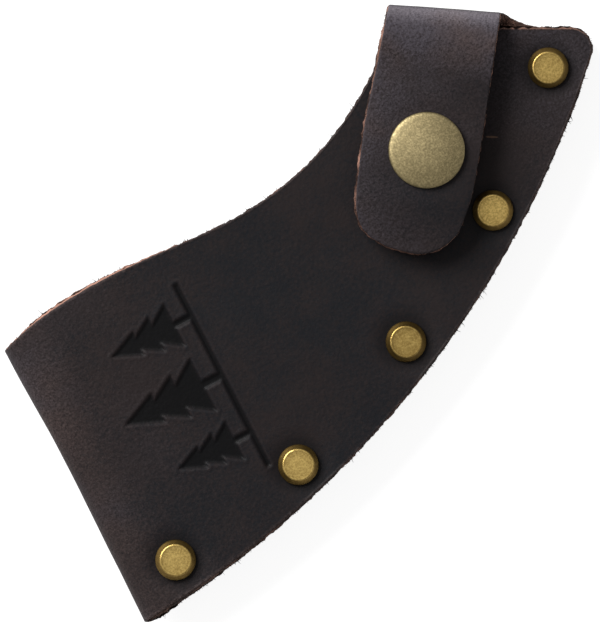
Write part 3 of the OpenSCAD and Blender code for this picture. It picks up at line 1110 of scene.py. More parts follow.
@dataclass
class Hide:
    """The folded body of the sheath, in two pieces: front with the fold, and back.

    A span is where something fades from full to nothing or back, along the sheath or away from a
    rivet. A slant is how far a cut edge leans outwards from its top to its bottom. Rows follow one
    another along the sheath, and columns from the cutting edge to the mouth.
    """

    outline: Outline
    section: FoldSection
    rivets: np.ndarray
    leathers: Leathers
    strap: StrapFrame
    stamp: Stamp = Stamp()
    cut: CutEdge = CutEdge()
    thickness: float = 2.5
    seam_x: float = -58.0
    flat_x: float = -45.0
    fine_x: float = -28.0
    rise_x: float = 23.5
    calm_w: float = 9.0
    setback: float = 0.4
    bow: float = 0.4
    bow_span: tuple[float, float] = (-64.0, -42.0)
    toe_lean: float = 0.6
    toe_span: tuple[float, float] = (-64.0, -4.0)
    mouth_lean: float = 0.45
    lip_rise: tuple[float, float] = (-65.0, -54.0)
    lip_fall: tuple[float, float] = (-46.0, -26.0)
    dimple: float = 0.38
    dimple_span: tuple[float, float] = (3.4, 8.0)
    # Painted shade round each rivet: how dark the ring is painted, and the radii over which it fades.
    rivet_shade: float = 0.5
    rivet_shade_span: tuple[float, float] = (4.1, 6.6)
    rubbed: float = 0.5
    facing_up: float = 0.3
    toe_slant: float = 0.18
    end_slant: float = 0.25
    lip_slant: tuple[float, float] = (2.6, -0.06)
    back_slant: float = -0.05
    root_slant: float = 0.25
    fold_rows: int = 100
    strip_rows: int = 32
    front_rows: tuple[int, int] = (60, 120)
    back_rows: int = 130
    front_shares: tuple[tuple[float, float, int], ...] = ((0.0, 0.16, 14), (0.16, 0.9, 150), (0.9, 1.0, 8))
    back_columns: int = 80
    arc_steps: int = 12
    welt_toe_x: float = -56.0
    welt_setback: float = 0.4
    welt_slant: float = 0.1
    welt_gap: float = 0.02
    welt_rows: int = 156
    welt_columns: int = 16
    strap_corner: tuple[float, float] = (-11.6, 4.55)
    flare_a: float = 18.9

    def spread(self, x: np.ndarray, z: np.ndarray) -> tuple[np.ndarray, np.ndarray]:
        """How far the cutting edge and the mouth reach past their lines, lower layers more.

        Args:
            x: places along the sheath.
            z: levels.

        Returns:
            The cutting edge's and the mouth's reach.
        """
        drop = (self.section.high_z - z) / (self.section.high_z - self.section.low_z)
        toe = 1.0 - smooth(*self.toe_span, x)
        lip = smooth(*self.lip_rise, x) * (1.0 - smooth(*self.lip_fall, x))
        return self.toe_lean * drop * toe, self.mouth_lean * drop * lip

    def panel(
        self,
        x_low: np.ndarray,
        x_high: np.ndarray,
        z: np.ndarray,
        low_end: np.ndarray,
        high_end: np.ndarray,
        shares: np.ndarray,
    ) -> np.ndarray:
        """Ruled surface from the cutting edge to the mouth, bowed outwards along the fold.

        Args:
            x_low: places along the cutting edge.
            x_high: places along the mouth, one for each of x_low.
            z: the level of each.
            low_end: arc that ends the cutting edge.
            high_end: arc or points that end the mouth, as many as low_end.
            shares: positions between the two.

        Returns:
            Grid of points, from first place to last and from cutting edge to mouth.
        """
        toe, _ = self.spread(x_low, z)
        _, lip = self.spread(x_high, z)
        low = np.stack([x_low, self.outline.edge_y(x_low) - toe, z], axis=-1)
        high = np.stack([x_high, self.outline.mouth_y(x_high) + lip, z], axis=-1)
        level = np.full((len(low_end), 1), z[-1])
        low = np.vstack([low, np.hstack([low_end, level])])
        high = np.vstack([high, np.hstack([high_end, level])])
        grid = ruled(low, high, shares)
        middle, reach = 0.5 * (low[:1, 1] + high[:1, 1]), 0.5 * (high[:1, 1] - low[:1, 1])
        swing = 1.0 - ((grid[..., 1] - middle) / reach) ** 2
        grid[..., 0] += self.bow * np.clip(swing, 0, 1) * (1.0 - smooth(*self.bow_span, grid[..., 0]))
        return grid

    def waviness(self, points: np.ndarray) -> np.ndarray:
        """Gentle height of hide that was never quite flat, with dimples under the rivets."""
        height = layered(points, 5, (0.09, 34.0), (0.03, 9.0))
        for rivet in self.rivets:
            r = np.linalg.norm(points[..., :2] - rivet, axis=-1)
            height = height - self.dimple * (1.0 - smooth(*self.dimple_span, r))
        return height

    def pull(self, points: np.ndarray) -> np.ndarray:
        """How stretched the grain is: most at the fold, a little towards the heel's end."""
        x, y = points[..., 0], points[..., 1]
        fold = 0.44 * (1.0 - smooth(-63.5, -52.0, x)) + 0.31 * (1.0 - smooth(-58.0, -20.0, x))
        fold = fold * (0.66 + 0.36 * smooth(-36.0, 6.0, y) + 0.65 * (1.0 - smooth(-43.0, -32.0, y)))
        heel = 0.5 * smooth(30.0, 56.0, x + 0.35 * y)
        return (fold + heel) * (0.85 + 0.16 * waves(points, 17.0, 8)) + 0.03 * waves(points, 30.0, 9)

    def cool(self, points: np.ndarray) -> np.ndarray:
        """How bluish the stretched grain is: in patches, more by the mouth and at the heel."""
        x, y = points[..., 0], points[..., 1]
        even = 0.25 + 0.3 * smooth(4.0, 18.0, y) + 0.35 * smooth(10.0, 50.0, x)
        return even + 0.3 * waves(points, 21.0, 13)

    def painted_edge_light(self, points: np.ndarray) -> np.ndarray:
        """Painted light and shade on the cut edge: palest at the mouth by the fold, darkest on the cutting
        edge.
        """
        x, y = points[..., 0], points[..., 1]
        mouth = smooth(2.0, 10.0, y) * (1.0 - smooth(-34.0, -18.0, x))
        end = smooth(-1.0, 6.0, self.end_gap(points) + 5.0) * 0.3
        return np.maximum(mouth, end) + 0.02 + 0.14 * waves(points, 5.0, 12)

    def front(self) -> tuple[bpy.types.Object, Rim]:
        """Makes the front panel with the fold and a strip of the back."""
        lower, upper = self.section.lower(SECTION_SAMPLES), self.section.upper(SECTION_SAMPLES)
        seam_z = np.interp(-self.seam_x, -lower[:, 0], lower[:, 1])
        fold = np.vstack([[self.seam_x, seam_z], lower[lower[:, 0] < self.seam_x], upper[1:]])
        fold = resample(fold, np.linspace(0.0, 1.0, self.fold_rows + 1))
        heel = self.outline.heel(self.setback, self.arc_steps + 1)
        corner = self.outline.corner(self.setback, self.arc_steps + 1)
        coarse, fine = self.front_rows
        x = steps((self.flat_x, self.fine_x, coarse), (self.fine_x, heel[0, 0], fine))[1:-1]
        scale = (corner[0, 0] - self.fine_x) / (heel[0, 0] - self.fine_x)
        x_high = np.where(x > self.fine_x, self.fine_x + (x - self.fine_x) * scale, x)
        x_low = np.concatenate([fold[:, 0], x])
        z = np.concatenate([fold[:, 1], np.full(len(x), fold[-1, 1])])
        x_high = np.concatenate([fold[:, 0], x_high])
        base = self.panel(x_low, x_high, z, heel, corner, steps(*self.front_shares))
        normal = grid_normals(base)
        relief, pressed = self.stamp.relief(base[..., :2])
        facing = normal[..., 2] > self.facing_up
        relief, pressed = relief * facing, pressed * facing
        height = self.waviness(base)
        outer = base + normal * (height + relief)[..., None]
        inner = base - normal * (self.thickness - 0.5 * height)[..., None]
        ring = ring_of(*base.shape[:2])
        edge_side, end_side, mouth_side, seam_side = ring_sides(*base.shape[:2])
        x_ring = base.reshape(-1, 3)[ring, 0]
        toe, lip = self.spread(x_ring, np.full(len(ring), self.section.high_z - self.thickness))
        slant = np.zeros(len(ring))
        slant[edge_side] = toe[edge_side] + self.toe_slant
        slant[end_side] = self.end_slant
        slant[mouth_side] = self.lip_slant[0] * lip[mouth_side] + self.lip_slant[1]
        raw = np.ones(len(ring))
        raw[seam_side] = 0.0
        pull, cool = self.pull(base), self.cool(base)
        pull.reshape(-1)[ring[raw > 0.0]] += self.rubbed
        cool.reshape(-1)[ring[raw > 0.0]] = 0.0
        # Painted shade: a dark ring painted round each rivet, carried in the same mask as the stamp's
        # press.
        for rivet in self.rivets:
            r = np.linalg.norm(base[..., :2] - rivet, axis=-1)
            pressed = np.maximum(pressed, self.rivet_shade * facing * (1.0 - smooth(*self.rivet_shade_span, r)))
        # The front's cut edge takes the painted light and shade of its edge numbers.
        paint = {"pull": pull, "press_and_shade": pressed, "painted_edge_light": self.painted_edge_light(base), "cool": cool}
        sheet = sheet_of_leather(outer, inner, raw, slant, self.cut, paint, 21)
        return self.leathers.sheet("hide_front", *sheet)

    def back(self) -> tuple[bpy.types.Object, Rim]:
        """Makes the back panel, from the strap's root to the strip that the fold brings round."""
        lower = self.section.lower(SECTION_SAMPLES)
        strip = lower[lower[:, 0] > self.seam_x]
        seam_z = np.interp(-self.seam_x, -lower[:, 0], lower[:, 1])
        strip = np.vstack([strip, [self.seam_x, seam_z]])
        strip = resample(strip, np.linspace(0.0, 1.0, self.strip_rows + 1))[::-1]
        heel = self.outline.heel(0.0, self.arc_steps + 1)
        corner = self.strap.plan(*np.array(self.strap_corner))
        x = steps((self.flat_x, heel[0, 0], self.back_rows))[1:-1]
        reach = steps((self.flat_x, corner[0], self.back_rows + self.arc_steps))[1:]
        lift = corner[1] - self.outline.mouth_y(corner[0])
        tail_x = reach[len(x) :]
        tail = np.stack([tail_x, self.outline.mouth_y(tail_x)], axis=-1)
        x_low = np.concatenate([strip[:, 0], x])
        x_high = np.concatenate([strip[:, 0], reach[: len(x)]])
        z = np.concatenate([strip[:, 1], np.full(len(x), strip[-1, 1])])
        share = np.linspace(0.0, 1.0, self.back_columns + 1)
        base = self.panel(x_low, x_high, z, heel, tail, share)
        rise = lift * smooth(self.rise_x, corner[0], np.concatenate([x_high, tail_x]))
        base[..., 1] += rise[:, None] * share
        base = base[::-1]
        normal = grid_normals(base)
        calm = 1.0 - smooth(0.0, self.calm_w, -self.end_gap(base))
        height = self.waviness(base) * (1.0 - calm)
        outer = base + normal * height[..., None]
        inner = base - normal * (self.thickness - 0.5 * height)[..., None]
        ring = ring_of(*base.shape[:2])
        _, seam_side, _, root_side = ring_sides(*base.shape[:2])
        a, _ = self.strap.local(base.reshape(-1, 3)[ring, :2])
        raw = np.ones(len(ring))
        raw[seam_side] = 0.0
        raw[root_side] = a[root_side] > self.flare_a
        # The back's cut edge takes a weaker share of the painted light.
        paint = {"pull": self.pull(base), "painted_edge_light": 0.6 * self.painted_edge_light(base)}
        slant = np.full(len(ring), self.back_slant)
        slant[root_side] = self.root_slant
        sheet = sheet_of_leather(outer, inner, raw, slant, self.cut, paint, 31)
        return self.leathers.sheet("hide_back", *sheet)

    def end_gap(self, points: np.ndarray) -> np.ndarray:
        """How far places lie past the end edge, negative inside the outline."""
        _, inward = self.outline.along_end()
        return -(points[..., :2] - self.outline.end_point) @ inward

    def welt(self, name: str, seed: int) -> tuple[bpy.types.Object, Rim]:
        """Makes one welt: the strip that keeps the blade's edge off the rivets."""
        (_, _, low_z), (_, _, high_z) = box_mm(name)
        heel = self.outline.heel(self.setback + self.welt_setback, self.arc_steps + 1)
        x = np.linspace(self.welt_toe_x, heel[0, 0], self.welt_rows + 1)[:-1]
        toe, _ = self.spread(x, np.full(len(x), high_z))
        low = np.vstack([np.stack([x, self.outline.edge_y(x) - toe], axis=-1), heel])
        centre = np.array(self.outline.edge_centre)
        radius = self.outline.edge_r - self.outline.welt_w
        run, _ = self.outline.along_end()
        back = heel[-1] - centre
        end = back + run * run_to_circle(back, run, radius)
        high = arc(centre, radius, heading(low[0] - centre), heading(end), len(low))
        grid = ruled(low, high, np.linspace(0.0, 1.0, self.welt_columns + 1))
        level = np.full((*grid.shape[:2], 1), high_z - self.welt_gap)
        outer = np.concatenate([grid, level], axis=-1)
        inner = outer - [0.0, 0.0, high_z - low_z - 2.0 * self.welt_gap]
        raw = np.ones(len(ring_of(*outer.shape[:2])))
        sheet = sheet_of_leather(outer, inner, raw, self.welt_slant * raw, self.cut, {}, seed)
        return self.leathers.sheet(name + "_cut", *sheet)


@dataclass
class Strap:
    """The closing strap: its root with the lower bend, and its flap with the upper bend.

    Places are across the strap and along it towards the tip. The flare gives the root's reach
    across at degrees round the lower bend, past 90 along the bridge. Each fold is two points in
    the frame.
    """

    frame: StrapFrame
    leathers: Leathers
    hide: Hide
    snap: np.ndarray
    top_z: float
    low_z: float
    cut: CutEdge = CutEdge()
    thickness: float = 2.5
    bend_r: float = 7.25
    join_z: float = 7.8
    half_w: float = 11.0
    steps_across: int = 48
    root_rows: int = 30
    bend_rows: int = 28
    bridge_rows: int = 6
    patch_rows: int = 80
    bridge_degrees: float = 10.0
    crown: float = 0.22
    droop: float = 1.3
    dent: float = 0.16
    root_slant: float = 0.1
    root_pull: float = 0.4
    # Painted sheen along the top of the bend: how much it adds to the pull, and its width in millimetres.
    bend_sheen: float = 0.62
    bend_sheen_w: float = 4.3
    lower_fold: tuple[tuple[float, float, float], ...] = ((40.572, 33.792, 2.65), (41.849, 35.883, 5.1))
    upper_fold: tuple[tuple[float, float, float], ...] = ((41.849, 35.883, 10.45), (38.723, 30.761, 16.45))
    left_slope: float = 0.122
    right_slope: float = 0.071
    end_line: tuple[float, float] = (3.72, -0.0717)
    least_root_r: float = 2.9
    flare: tuple[tuple[float, float], ...] = (
        (0, 18.9), (15, 16.2), (26, 14.9), (47, 13.2), (70, 12.2), (90, 11.6), (100, 11.0),
    )
    left_edge: tuple[tuple[float, float], ...] = (
        (-12.5, 12.3), (-13.8, 21.6), (-14.54, 32.0), (-14.66, 39.2), (-14.0, 42.5),
    )
    right_edge: tuple[tuple[float, float], ...] = (
        (9.3, 24.0), (8.5, 32.0), (8.0, 36.4), (7.1, 40.0),
    )
    tip_edge: tuple[tuple[float, float], ...] = (
        (-14.0, 42.5), (-12.5, 44.9), (-10.2, 46.5), (-6.7, 47.8),
        (-1.5, 48.5), (2.3, 47.3), (5.6, 44.2), (7.1, 40.0),
    )

    def placed(self, a: np.ndarray, d: np.ndarray, z: np.ndarray) -> np.ndarray:
        """Points in the frame from strap coordinates and a level."""
        return np.concatenate([self.frame.plan(a, d), np.broadcast_to(z, a.shape)[..., None]], axis=-1)

    def root_grid(self) -> tuple[np.ndarray, np.ndarray]:
        """Outer side and its normals from the back's end line, round the lower bend, up to the join.

        The bend is a quarter circle about each point's own centre above the end line, so that it
        swings from the slanting end line to the strap's straight fold.
        """
        bend = np.linspace(0.0, 90.0, self.root_rows + 1)
        turn = np.radians(np.concatenate([bend, np.full(self.bridge_rows, 90.0)]))[:, None]
        climb = np.linspace(0.0, 1.0, self.bridge_rows + 1)[1:]
        climb = np.concatenate([np.zeros(len(bend)), climb])[:, None]
        rise = np.degrees(turn) + self.bridge_degrees * climb
        degrees, reach = np.array(self.flare).T
        right = np.interp(rise, degrees, reach)
        left = self.hide.strap_corner[0] + (-self.half_w - self.hide.strap_corner[0]) * np.sin(turn)
        across = np.linspace(0.0, 1.0, self.steps_across + 1)
        a = left + (right - left) * across
        centre_d = self.end_line[0] + self.end_line[1] * a
        radius = np.maximum(centre_d, self.least_root_r)
        top = self.low_z + radius
        d = centre_d - radius * np.sin(turn)
        z = top - radius * np.cos(turn) + (self.join_z - top) * climb
        normal = np.concatenate([
            self.frame.plan(0.0 * a, -np.sin(turn) + 0.0 * a) - self.frame.origin,
            (-np.cos(turn) + 0.0 * a)[..., None],
        ], axis=-1)
        return self.placed(a, d, z), normal

    def root(self) -> tuple[bpy.types.Object, Rim]:
        """Makes the strap's root, with its lower bend."""
        outer, normal = self.root_grid()
        inner = outer - normal * self.thickness
        _, join_side, _, root_side = ring_sides(*outer.shape[:2])
        raw = np.ones(root_side.stop)
        raw[join_side] = raw[root_side] = 0.0
        slant = np.full(len(raw), self.root_slant)
        pull = np.full(outer.shape[:2], self.root_pull)
        # Painted light: the root's cut edge is painted only a little paler, with random variation.
        paint = {"painted_edge_light": 0.1 + 0.15 * waves(outer, 5.0, 42), "pull": pull}
        sheet = sheet_of_leather(outer, inner, raw, slant, self.cut, paint, 41)
        return self.leathers.sheet("strap_root", *sheet)

    def flap_grid(self) -> np.ndarray:
        """Outer side of the flap: bridge, quarter bend and a patch between its four edges."""
        across = np.linspace(0.0, 1.0, self.steps_across + 1)
        centre_z = self.top_z - self.bend_r
        turn = np.radians(np.linspace(0.0, 90.0, self.bend_rows + 1))[:, None]
        bridge_z = np.linspace(self.join_z, centre_z, self.bridge_rows + 1)[:-1, None]
        d = np.vstack([np.zeros((self.bridge_rows, 1)), self.bend_r * (1.0 - np.cos(turn))])
        z = np.vstack([bridge_z, centre_z + self.bend_r * np.sin(turn)])
        left = -self.half_w - self.left_slope * d
        right = self.half_w - self.right_slope * d
        a = left + (right - left) * across
        bend = self.placed(a, d + 0.0 * a, z)
        start = through([(left[-1, 0], self.bend_r), *self.left_edge], self.patch_rows + 1)
        end = through([(right[-1, 0], self.bend_r), *self.right_edge], self.patch_rows + 1)
        low = np.stack([a[-1], np.full(len(across), self.bend_r)], axis=-1)
        patch = coons(low, through(self.tip_edge, len(across)), start, end)
        patch = np.swapaxes(patch, 0, 1)[1:]
        a, d = patch[..., 0], patch[..., 1]
        side = (2.0 * across - 1.0) ** 2
        crown = smooth(self.bend_r, 18.0, d) * (1.0 - smooth(36.0, 48.0, d))
        lift = self.crown * (1.0 - 1.6 * side) * crown
        z = self.top_z + lift - self.droop * smooth(34.0, 49.5, d) ** 1.4
        return np.vstack([bend, self.placed(a, d, z)])

    def flap(self) -> tuple[bpy.types.Object, Rim]:
        """Makes the flap: a dent round the snap, stretched leather with a painted sheen over its bend, and
        painted light.
        """
        base = self.flap_grid()
        normal = grid_normals(base)
        r = np.linalg.norm(base[..., :2] - self.snap, axis=-1)
        top = smooth(self.top_z - 3.0, self.top_z - 0.5, base[..., 2])
        dent = self.dent * (1.0 - smooth(6.5, 11.0, r)) * top
        height = layered(base, 51, (0.05, 22.0), (0.03, 7.0)) - dent
        _, d = self.frame.local(base)
        outer = base + normal * height[..., None]
        inner = base - normal * self.thickness
        n, m = base.shape[:2]
        left_side, tip_side, _, join_side = ring_sides(n, m)
        raw = np.ones(join_side.stop)
        raw[join_side] = 0.0
        slant = np.full(len(raw), -0.12)
        ring_d = d.reshape(-1)[ring_of(n, m)]
        slant[left_side] = 0.30 + 0.25 * smooth(14.0, 44.0, ring_d[left_side])
        slant[tip_side] = 0.5 - 0.6 * np.linspace(0.0, 1.0, m - 1)
        # Painted light: the flap is painted paler towards its left side, which faces the key light. Past
        # the bend the pull is lower from the snap on and higher again near the tip.
        left = (1.0 - np.linspace(0.0, 1.0, m)) ** 1.6
        pull = 1.25 * (1.0 - smooth(2.0, 20.0, d)) + 0.1 * (1.0 - smooth(7.5, 11.0, r))
        rest = 0.24 - 0.2 * smooth(24.0, 34.0, d) + 0.14 * smooth(38.0, 46.0, d)
        pull = np.maximum(pull, rest + 0.55 * left) + 0.04 * waves(base, 13.0, 64)
        # Painted sheen: extra pull near the top of the bend, which the grain finish turns into a pale grey
        # highlight.
        bend_sheen = np.clip(1.0 - d / self.bend_sheen_w, 0.0, 1.0)
        pull = pull + self.bend_sheen * (bend_sheen * smooth(self.top_z - 6.5, self.top_z - 4.0, base[..., 2]))
        cool = 0.8 + 0.3 * waves(base, 16.0, 65)
        # Painted light: the flap's cut edge is painted fairly pale all round, with random variation.
        paint = {"pull": pull, "painted_edge_light": 0.38 + 0.28 * waves(base, 4.0, 63), "cool": cool}
        sheet = sheet_of_leather(outer, inner, raw, slant, self.cut, paint, 61)
        return self.leathers.sheet("strap_flap", *sheet)


def settle(made: bpy.types.Object, body: str, slot: str, *nodes: str) -> None:
    """Rides a piece on a body, in place of its nodes if it has any.

    Args:
        made: the piece.
        body: the body that it rides on.
        slot: not used.
        nodes: the CAD nodes that it stands for.
    """
    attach(made, body)
    if nodes:
        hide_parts(*nodes)


def lathe_piece(
    name: str,
    profile: Sequence[tuple[float, float]],
    patina: Sequence[float],
    centre: np.ndarray,
    material: bpy.types.Material,
    sides: int = 96,
) -> bpy.types.Object:
    """Turned metal piece with its patina painted along the profile.

    Args:
        name: the piece's name.
        profile: radius and height of each point.
        patina: how dark the metal is at each point, from 0 to 1.
        centre: place of its axis.
        material: its finish.
        sides: number of points round it.

    Returns:
        The object.
    """
    shape = turned(np.array(profile, float), centre, sides, {"patina": np.array(patina, float)})
    return shape.piece(name, [material])


@dataclass
class Rivets:
    """Five tubular rivets: a bevelled cap on the front and a domed head on the back."""

    count: int
    finish: bpy.types.Material
    cap_drop: float = 1.4
    tube_r: float = 1.15
    tube_gap: float = 0.2
    tarnish: tuple[float, ...] = (0.11, 0.04, 0.26, 0.0, 0.0)

    def build(self) -> None:
        """Makes every cap and post, in the place of its CAD node."""
        for i in range(self.count):
            self.cap(f"rivet_cap_{i + 1}", self.tarnish[i % len(self.tarnish)])
            self.post(f"rivet_post_{i + 1}")

    def cap(self, node: str, tarnish: float) -> None:
        """Makes a cap: a flat rim, a bevel and a polished ring round a flat middle.

        Args:
            node: its CAD node.
            tarnish: how much darker it is than the clean cap.
        """
        r, _, top = round_mm(node)
        seat = top - self.cap_drop
        profile = [
            (0.0, seat - 0.45), (r - 0.15, seat - 0.45), (r, seat - 0.3), (r, seat + 0.28),
            (r - 0.06, seat + 0.42), (r - 0.25, seat + 0.62), (r - 0.78, top - 0.24), (r - 0.88, top - 0.1),
            (r - 1.0, top - 0.02), (r - 1.14, top), (r - 1.3, top - 0.03), (r - 1.5, top - 0.04),
            (1.2, top - 0.02), (0.0, top),
        ]
        patina = np.array([1, 1, 1, 0.9, 0.8, 0.9, 0.8, 0.3, 0.0, 0.0, 0.25, 0.1, 0.0, 0.0]) + tarnish
        made = lathe_piece(node + "_brass", profile, patina, centre_mm(node), self.finish)
        settle(made, "sheath", "rivet_brass", node)

    def post(self, node: str) -> None:
        """Makes a post: the domed head on the back and the tube that goes up into the cap."""
        head, foot, end = round_mm(node)
        tube_top = end - self.tube_gap
        profile = [
            (0.0, foot), (1.6, foot + 0.03), (head - 0.9, foot + 0.2), (head - 0.3, foot + 0.55),
            (head, foot + 1.0), (head, foot + 1.5), (head - 0.2, foot + 1.7), (self.tube_r, foot + 1.7),
            (self.tube_r, tube_top), (0.0, tube_top),
        ]
        patina = [0.0, 0.0, 0.15, 0.4, 0.8, 1, 1, 1, 1, 1]
        made = lathe_piece(node + "_brass", profile, patina, centre_mm(node), self.finish)
        settle(made, "sheath", "rivet_brass", node)


@dataclass
class Snap:
    """The snap fastener: cap, socket and spring on the strap; stud and eyelet on the sheath."""

    middle: np.ndarray
    brass: bpy.types.Material
    inner: bpy.types.Material
    steel: bpy.types.Material
    cap_drop: float = 2.0
    cap_sides: int = 128
    wire_sides: int = 12
    wire_patina: float = 0.1

    def build(self) -> None:
        """Makes the five parts of the fastener."""
        self.cap("snap_cap")
        self.socket("snap_socket")
        self.spring("snap_spring")
        self.stud("snap_stud")
        self.eyelet("snap_eyelet")

    def cap(self, node: str) -> None:
        """Makes the cap: a shallow dome with a rolled rim, and its post with a flared foot."""
        r, low, top = round_mm(node)
        seat = top - self.cap_drop
        profile = [
            (0.0, low + 0.25), (1.2, low + 0.2), (1.6, low), (2.5, low + 0.05), (2.7, low + 0.25),
            (2.5, low + 0.5), (1.75, low + 0.6), (1.75, seat - 0.5), (r - 0.7, seat - 0.5),
            (r - 0.15, seat - 0.25), (r, seat + 0.2), (r - 0.01, seat + 0.7), (r - 0.08, seat + 0.95),
            (r - 0.24, seat + 1.13), (r - 0.5, seat + 1.25), (r - 1.0, seat + 1.37), (r - 2.4, seat + 1.63),
            (r - 4.2, seat + 1.86), (1.4, seat + 1.98), (0.0, top),
        ]
        patina = [0.5] * 7 + [1.0, 1.0, 1.0, 0.9, 0.6, 0.25, 0.12, 0.12, 0.18, 0.2, 0.12, 0.08, 0.1]
        made = lathe_piece(node + "_brass", profile, patina, self.middle, self.brass, self.cap_sides)
        settle(made, "strap", "snap_brass", node)

    def socket(self, node: str) -> None:
        """Makes the socket: a ring with a hollow for the stud and the spring, open below."""
        r, low, high = round_mm(node)
        profile = [
            (1.8, high - 0.6), (4.0, high - 0.6), (4.0, low + 0.6), (3.8, low + 0.25), (4.0, low + 0.03),
            (4.3, low), (5.1, low + 0.03), (5.5, low + 0.3), (5.75, low + 1.1), (r - 0.1, low + 1.6),
            (r, high - 0.5), (r, high), (1.8, high),
        ]
        patina = [1, 0.8, 0.6, 0.2, 0, 0, 0, 0.3, 0.7, 0.3, 0.1, 0.5, 1]
        made = lathe_piece(node + "_brass", profile, patina, self.middle, self.inner)
        settle(made, "strap", "snap_inner", node)

    def spring(self, node: str) -> None:
        """Makes the spring: a ring of round wire."""
        r, low, high = round_mm(node)
        wire, turn = 0.5 * (high - low), circle_angles(self.wire_sides)
        profile = list(zip(r - wire + wire * np.cos(turn), 0.5 * (low + high) + wire * np.sin(turn)))
        patina = [self.wire_patina] * self.wire_sides
        made = lathe_piece(node + "_wire", profile, patina, self.middle, self.steel)
        settle(made, "strap", "spring_steel", node)

    def stud(self, node: str) -> None:
        """Makes the stud: a flange, a neck and a rounded head with a hole down its middle."""
        r, foot, top = round_mm(node)
        profile = [
            (1.95, foot), (r - 0.1, foot), (r, foot + 0.25), (r - 0.15, foot + 0.5), (3.5, foot + 0.62),
            (2.85, foot + 0.85), (2.7, foot + 1.2), (2.8, foot + 1.5), (3.2, foot + 1.75),
            (3.25, foot + 2.05), (3.05, top - 0.08), (2.8, top), (2.6, top - 0.12), (1.95, foot + 1.4),
        ]
        patina = [1, 1, 0.4, 0, 0.5, 0.9, 0.8, 0.5, 0.1, 0, 0, 0, 0.6, 1]
        made = lathe_piece(node + "_brass", profile, patina, self.middle, self.inner)
        settle(made, "sheath", "snap_inner", node)

    def eyelet(self, node: str) -> None:
        """Makes the eyelet: a flange in the pocket and a tube that is rolled over in the stud."""
        r, low, high = round_mm(node)
        profile = [
            (1.5, low), (r - 0.2, low), (r, low + 0.2), (r - 0.2, low + 0.42), (1.9, low + 0.5),
            (1.9, high - 0.35), (2.5, high - 0.4), (2.6, high - 0.2), (2.3, high), (1.75, high),
            (1.5, high - 0.25),
        ]
        patina = [1, 0.4, 0, 0, 0.6, 1, 0.6, 0.1, 0, 0, 0.8]
        made = lathe_piece(node + "_brass", profile, patina, self.middle, self.inner)
        settle(made, "sheath", "snap_inner", node)


# ---------------------------------------------------------------- floor, light and camera


@dataclass(frozen=True)
class Lamp:
    """A square soft light that faces the subject, at a distance and of a size in metres.

    Its way from the subject is in shares of the picture's right, its up and straight up, and its
    power is in watts.
    """

    name: str
    way: tuple[float, float, float]
    distance: float
    size: float
    power: float

    def build(self, right: np.ndarray, up: np.ndarray, above: np.ndarray) -> None:
        """Adds the light.

        Args:
            right: direction of the picture's right.
            up: direction of the picture's up.
            above: straight up.
        """
        light = bpy.data.lights.new(self.name, "AREA")
        light.shape, light.size, light.energy = "SQUARE", self.size, self.power
        lamp = bpy.data.objects.new(self.name, light)
        direction = unit(self.way[0] * right + self.way[1] * up + self.way[2] * above)
        lamp.location = direction * self.distance
        lamp.rotation_euler = (0.0, math.acos(direction[2]), heading(direction))
        bpy.context.scene.collection.objects.link(lamp)


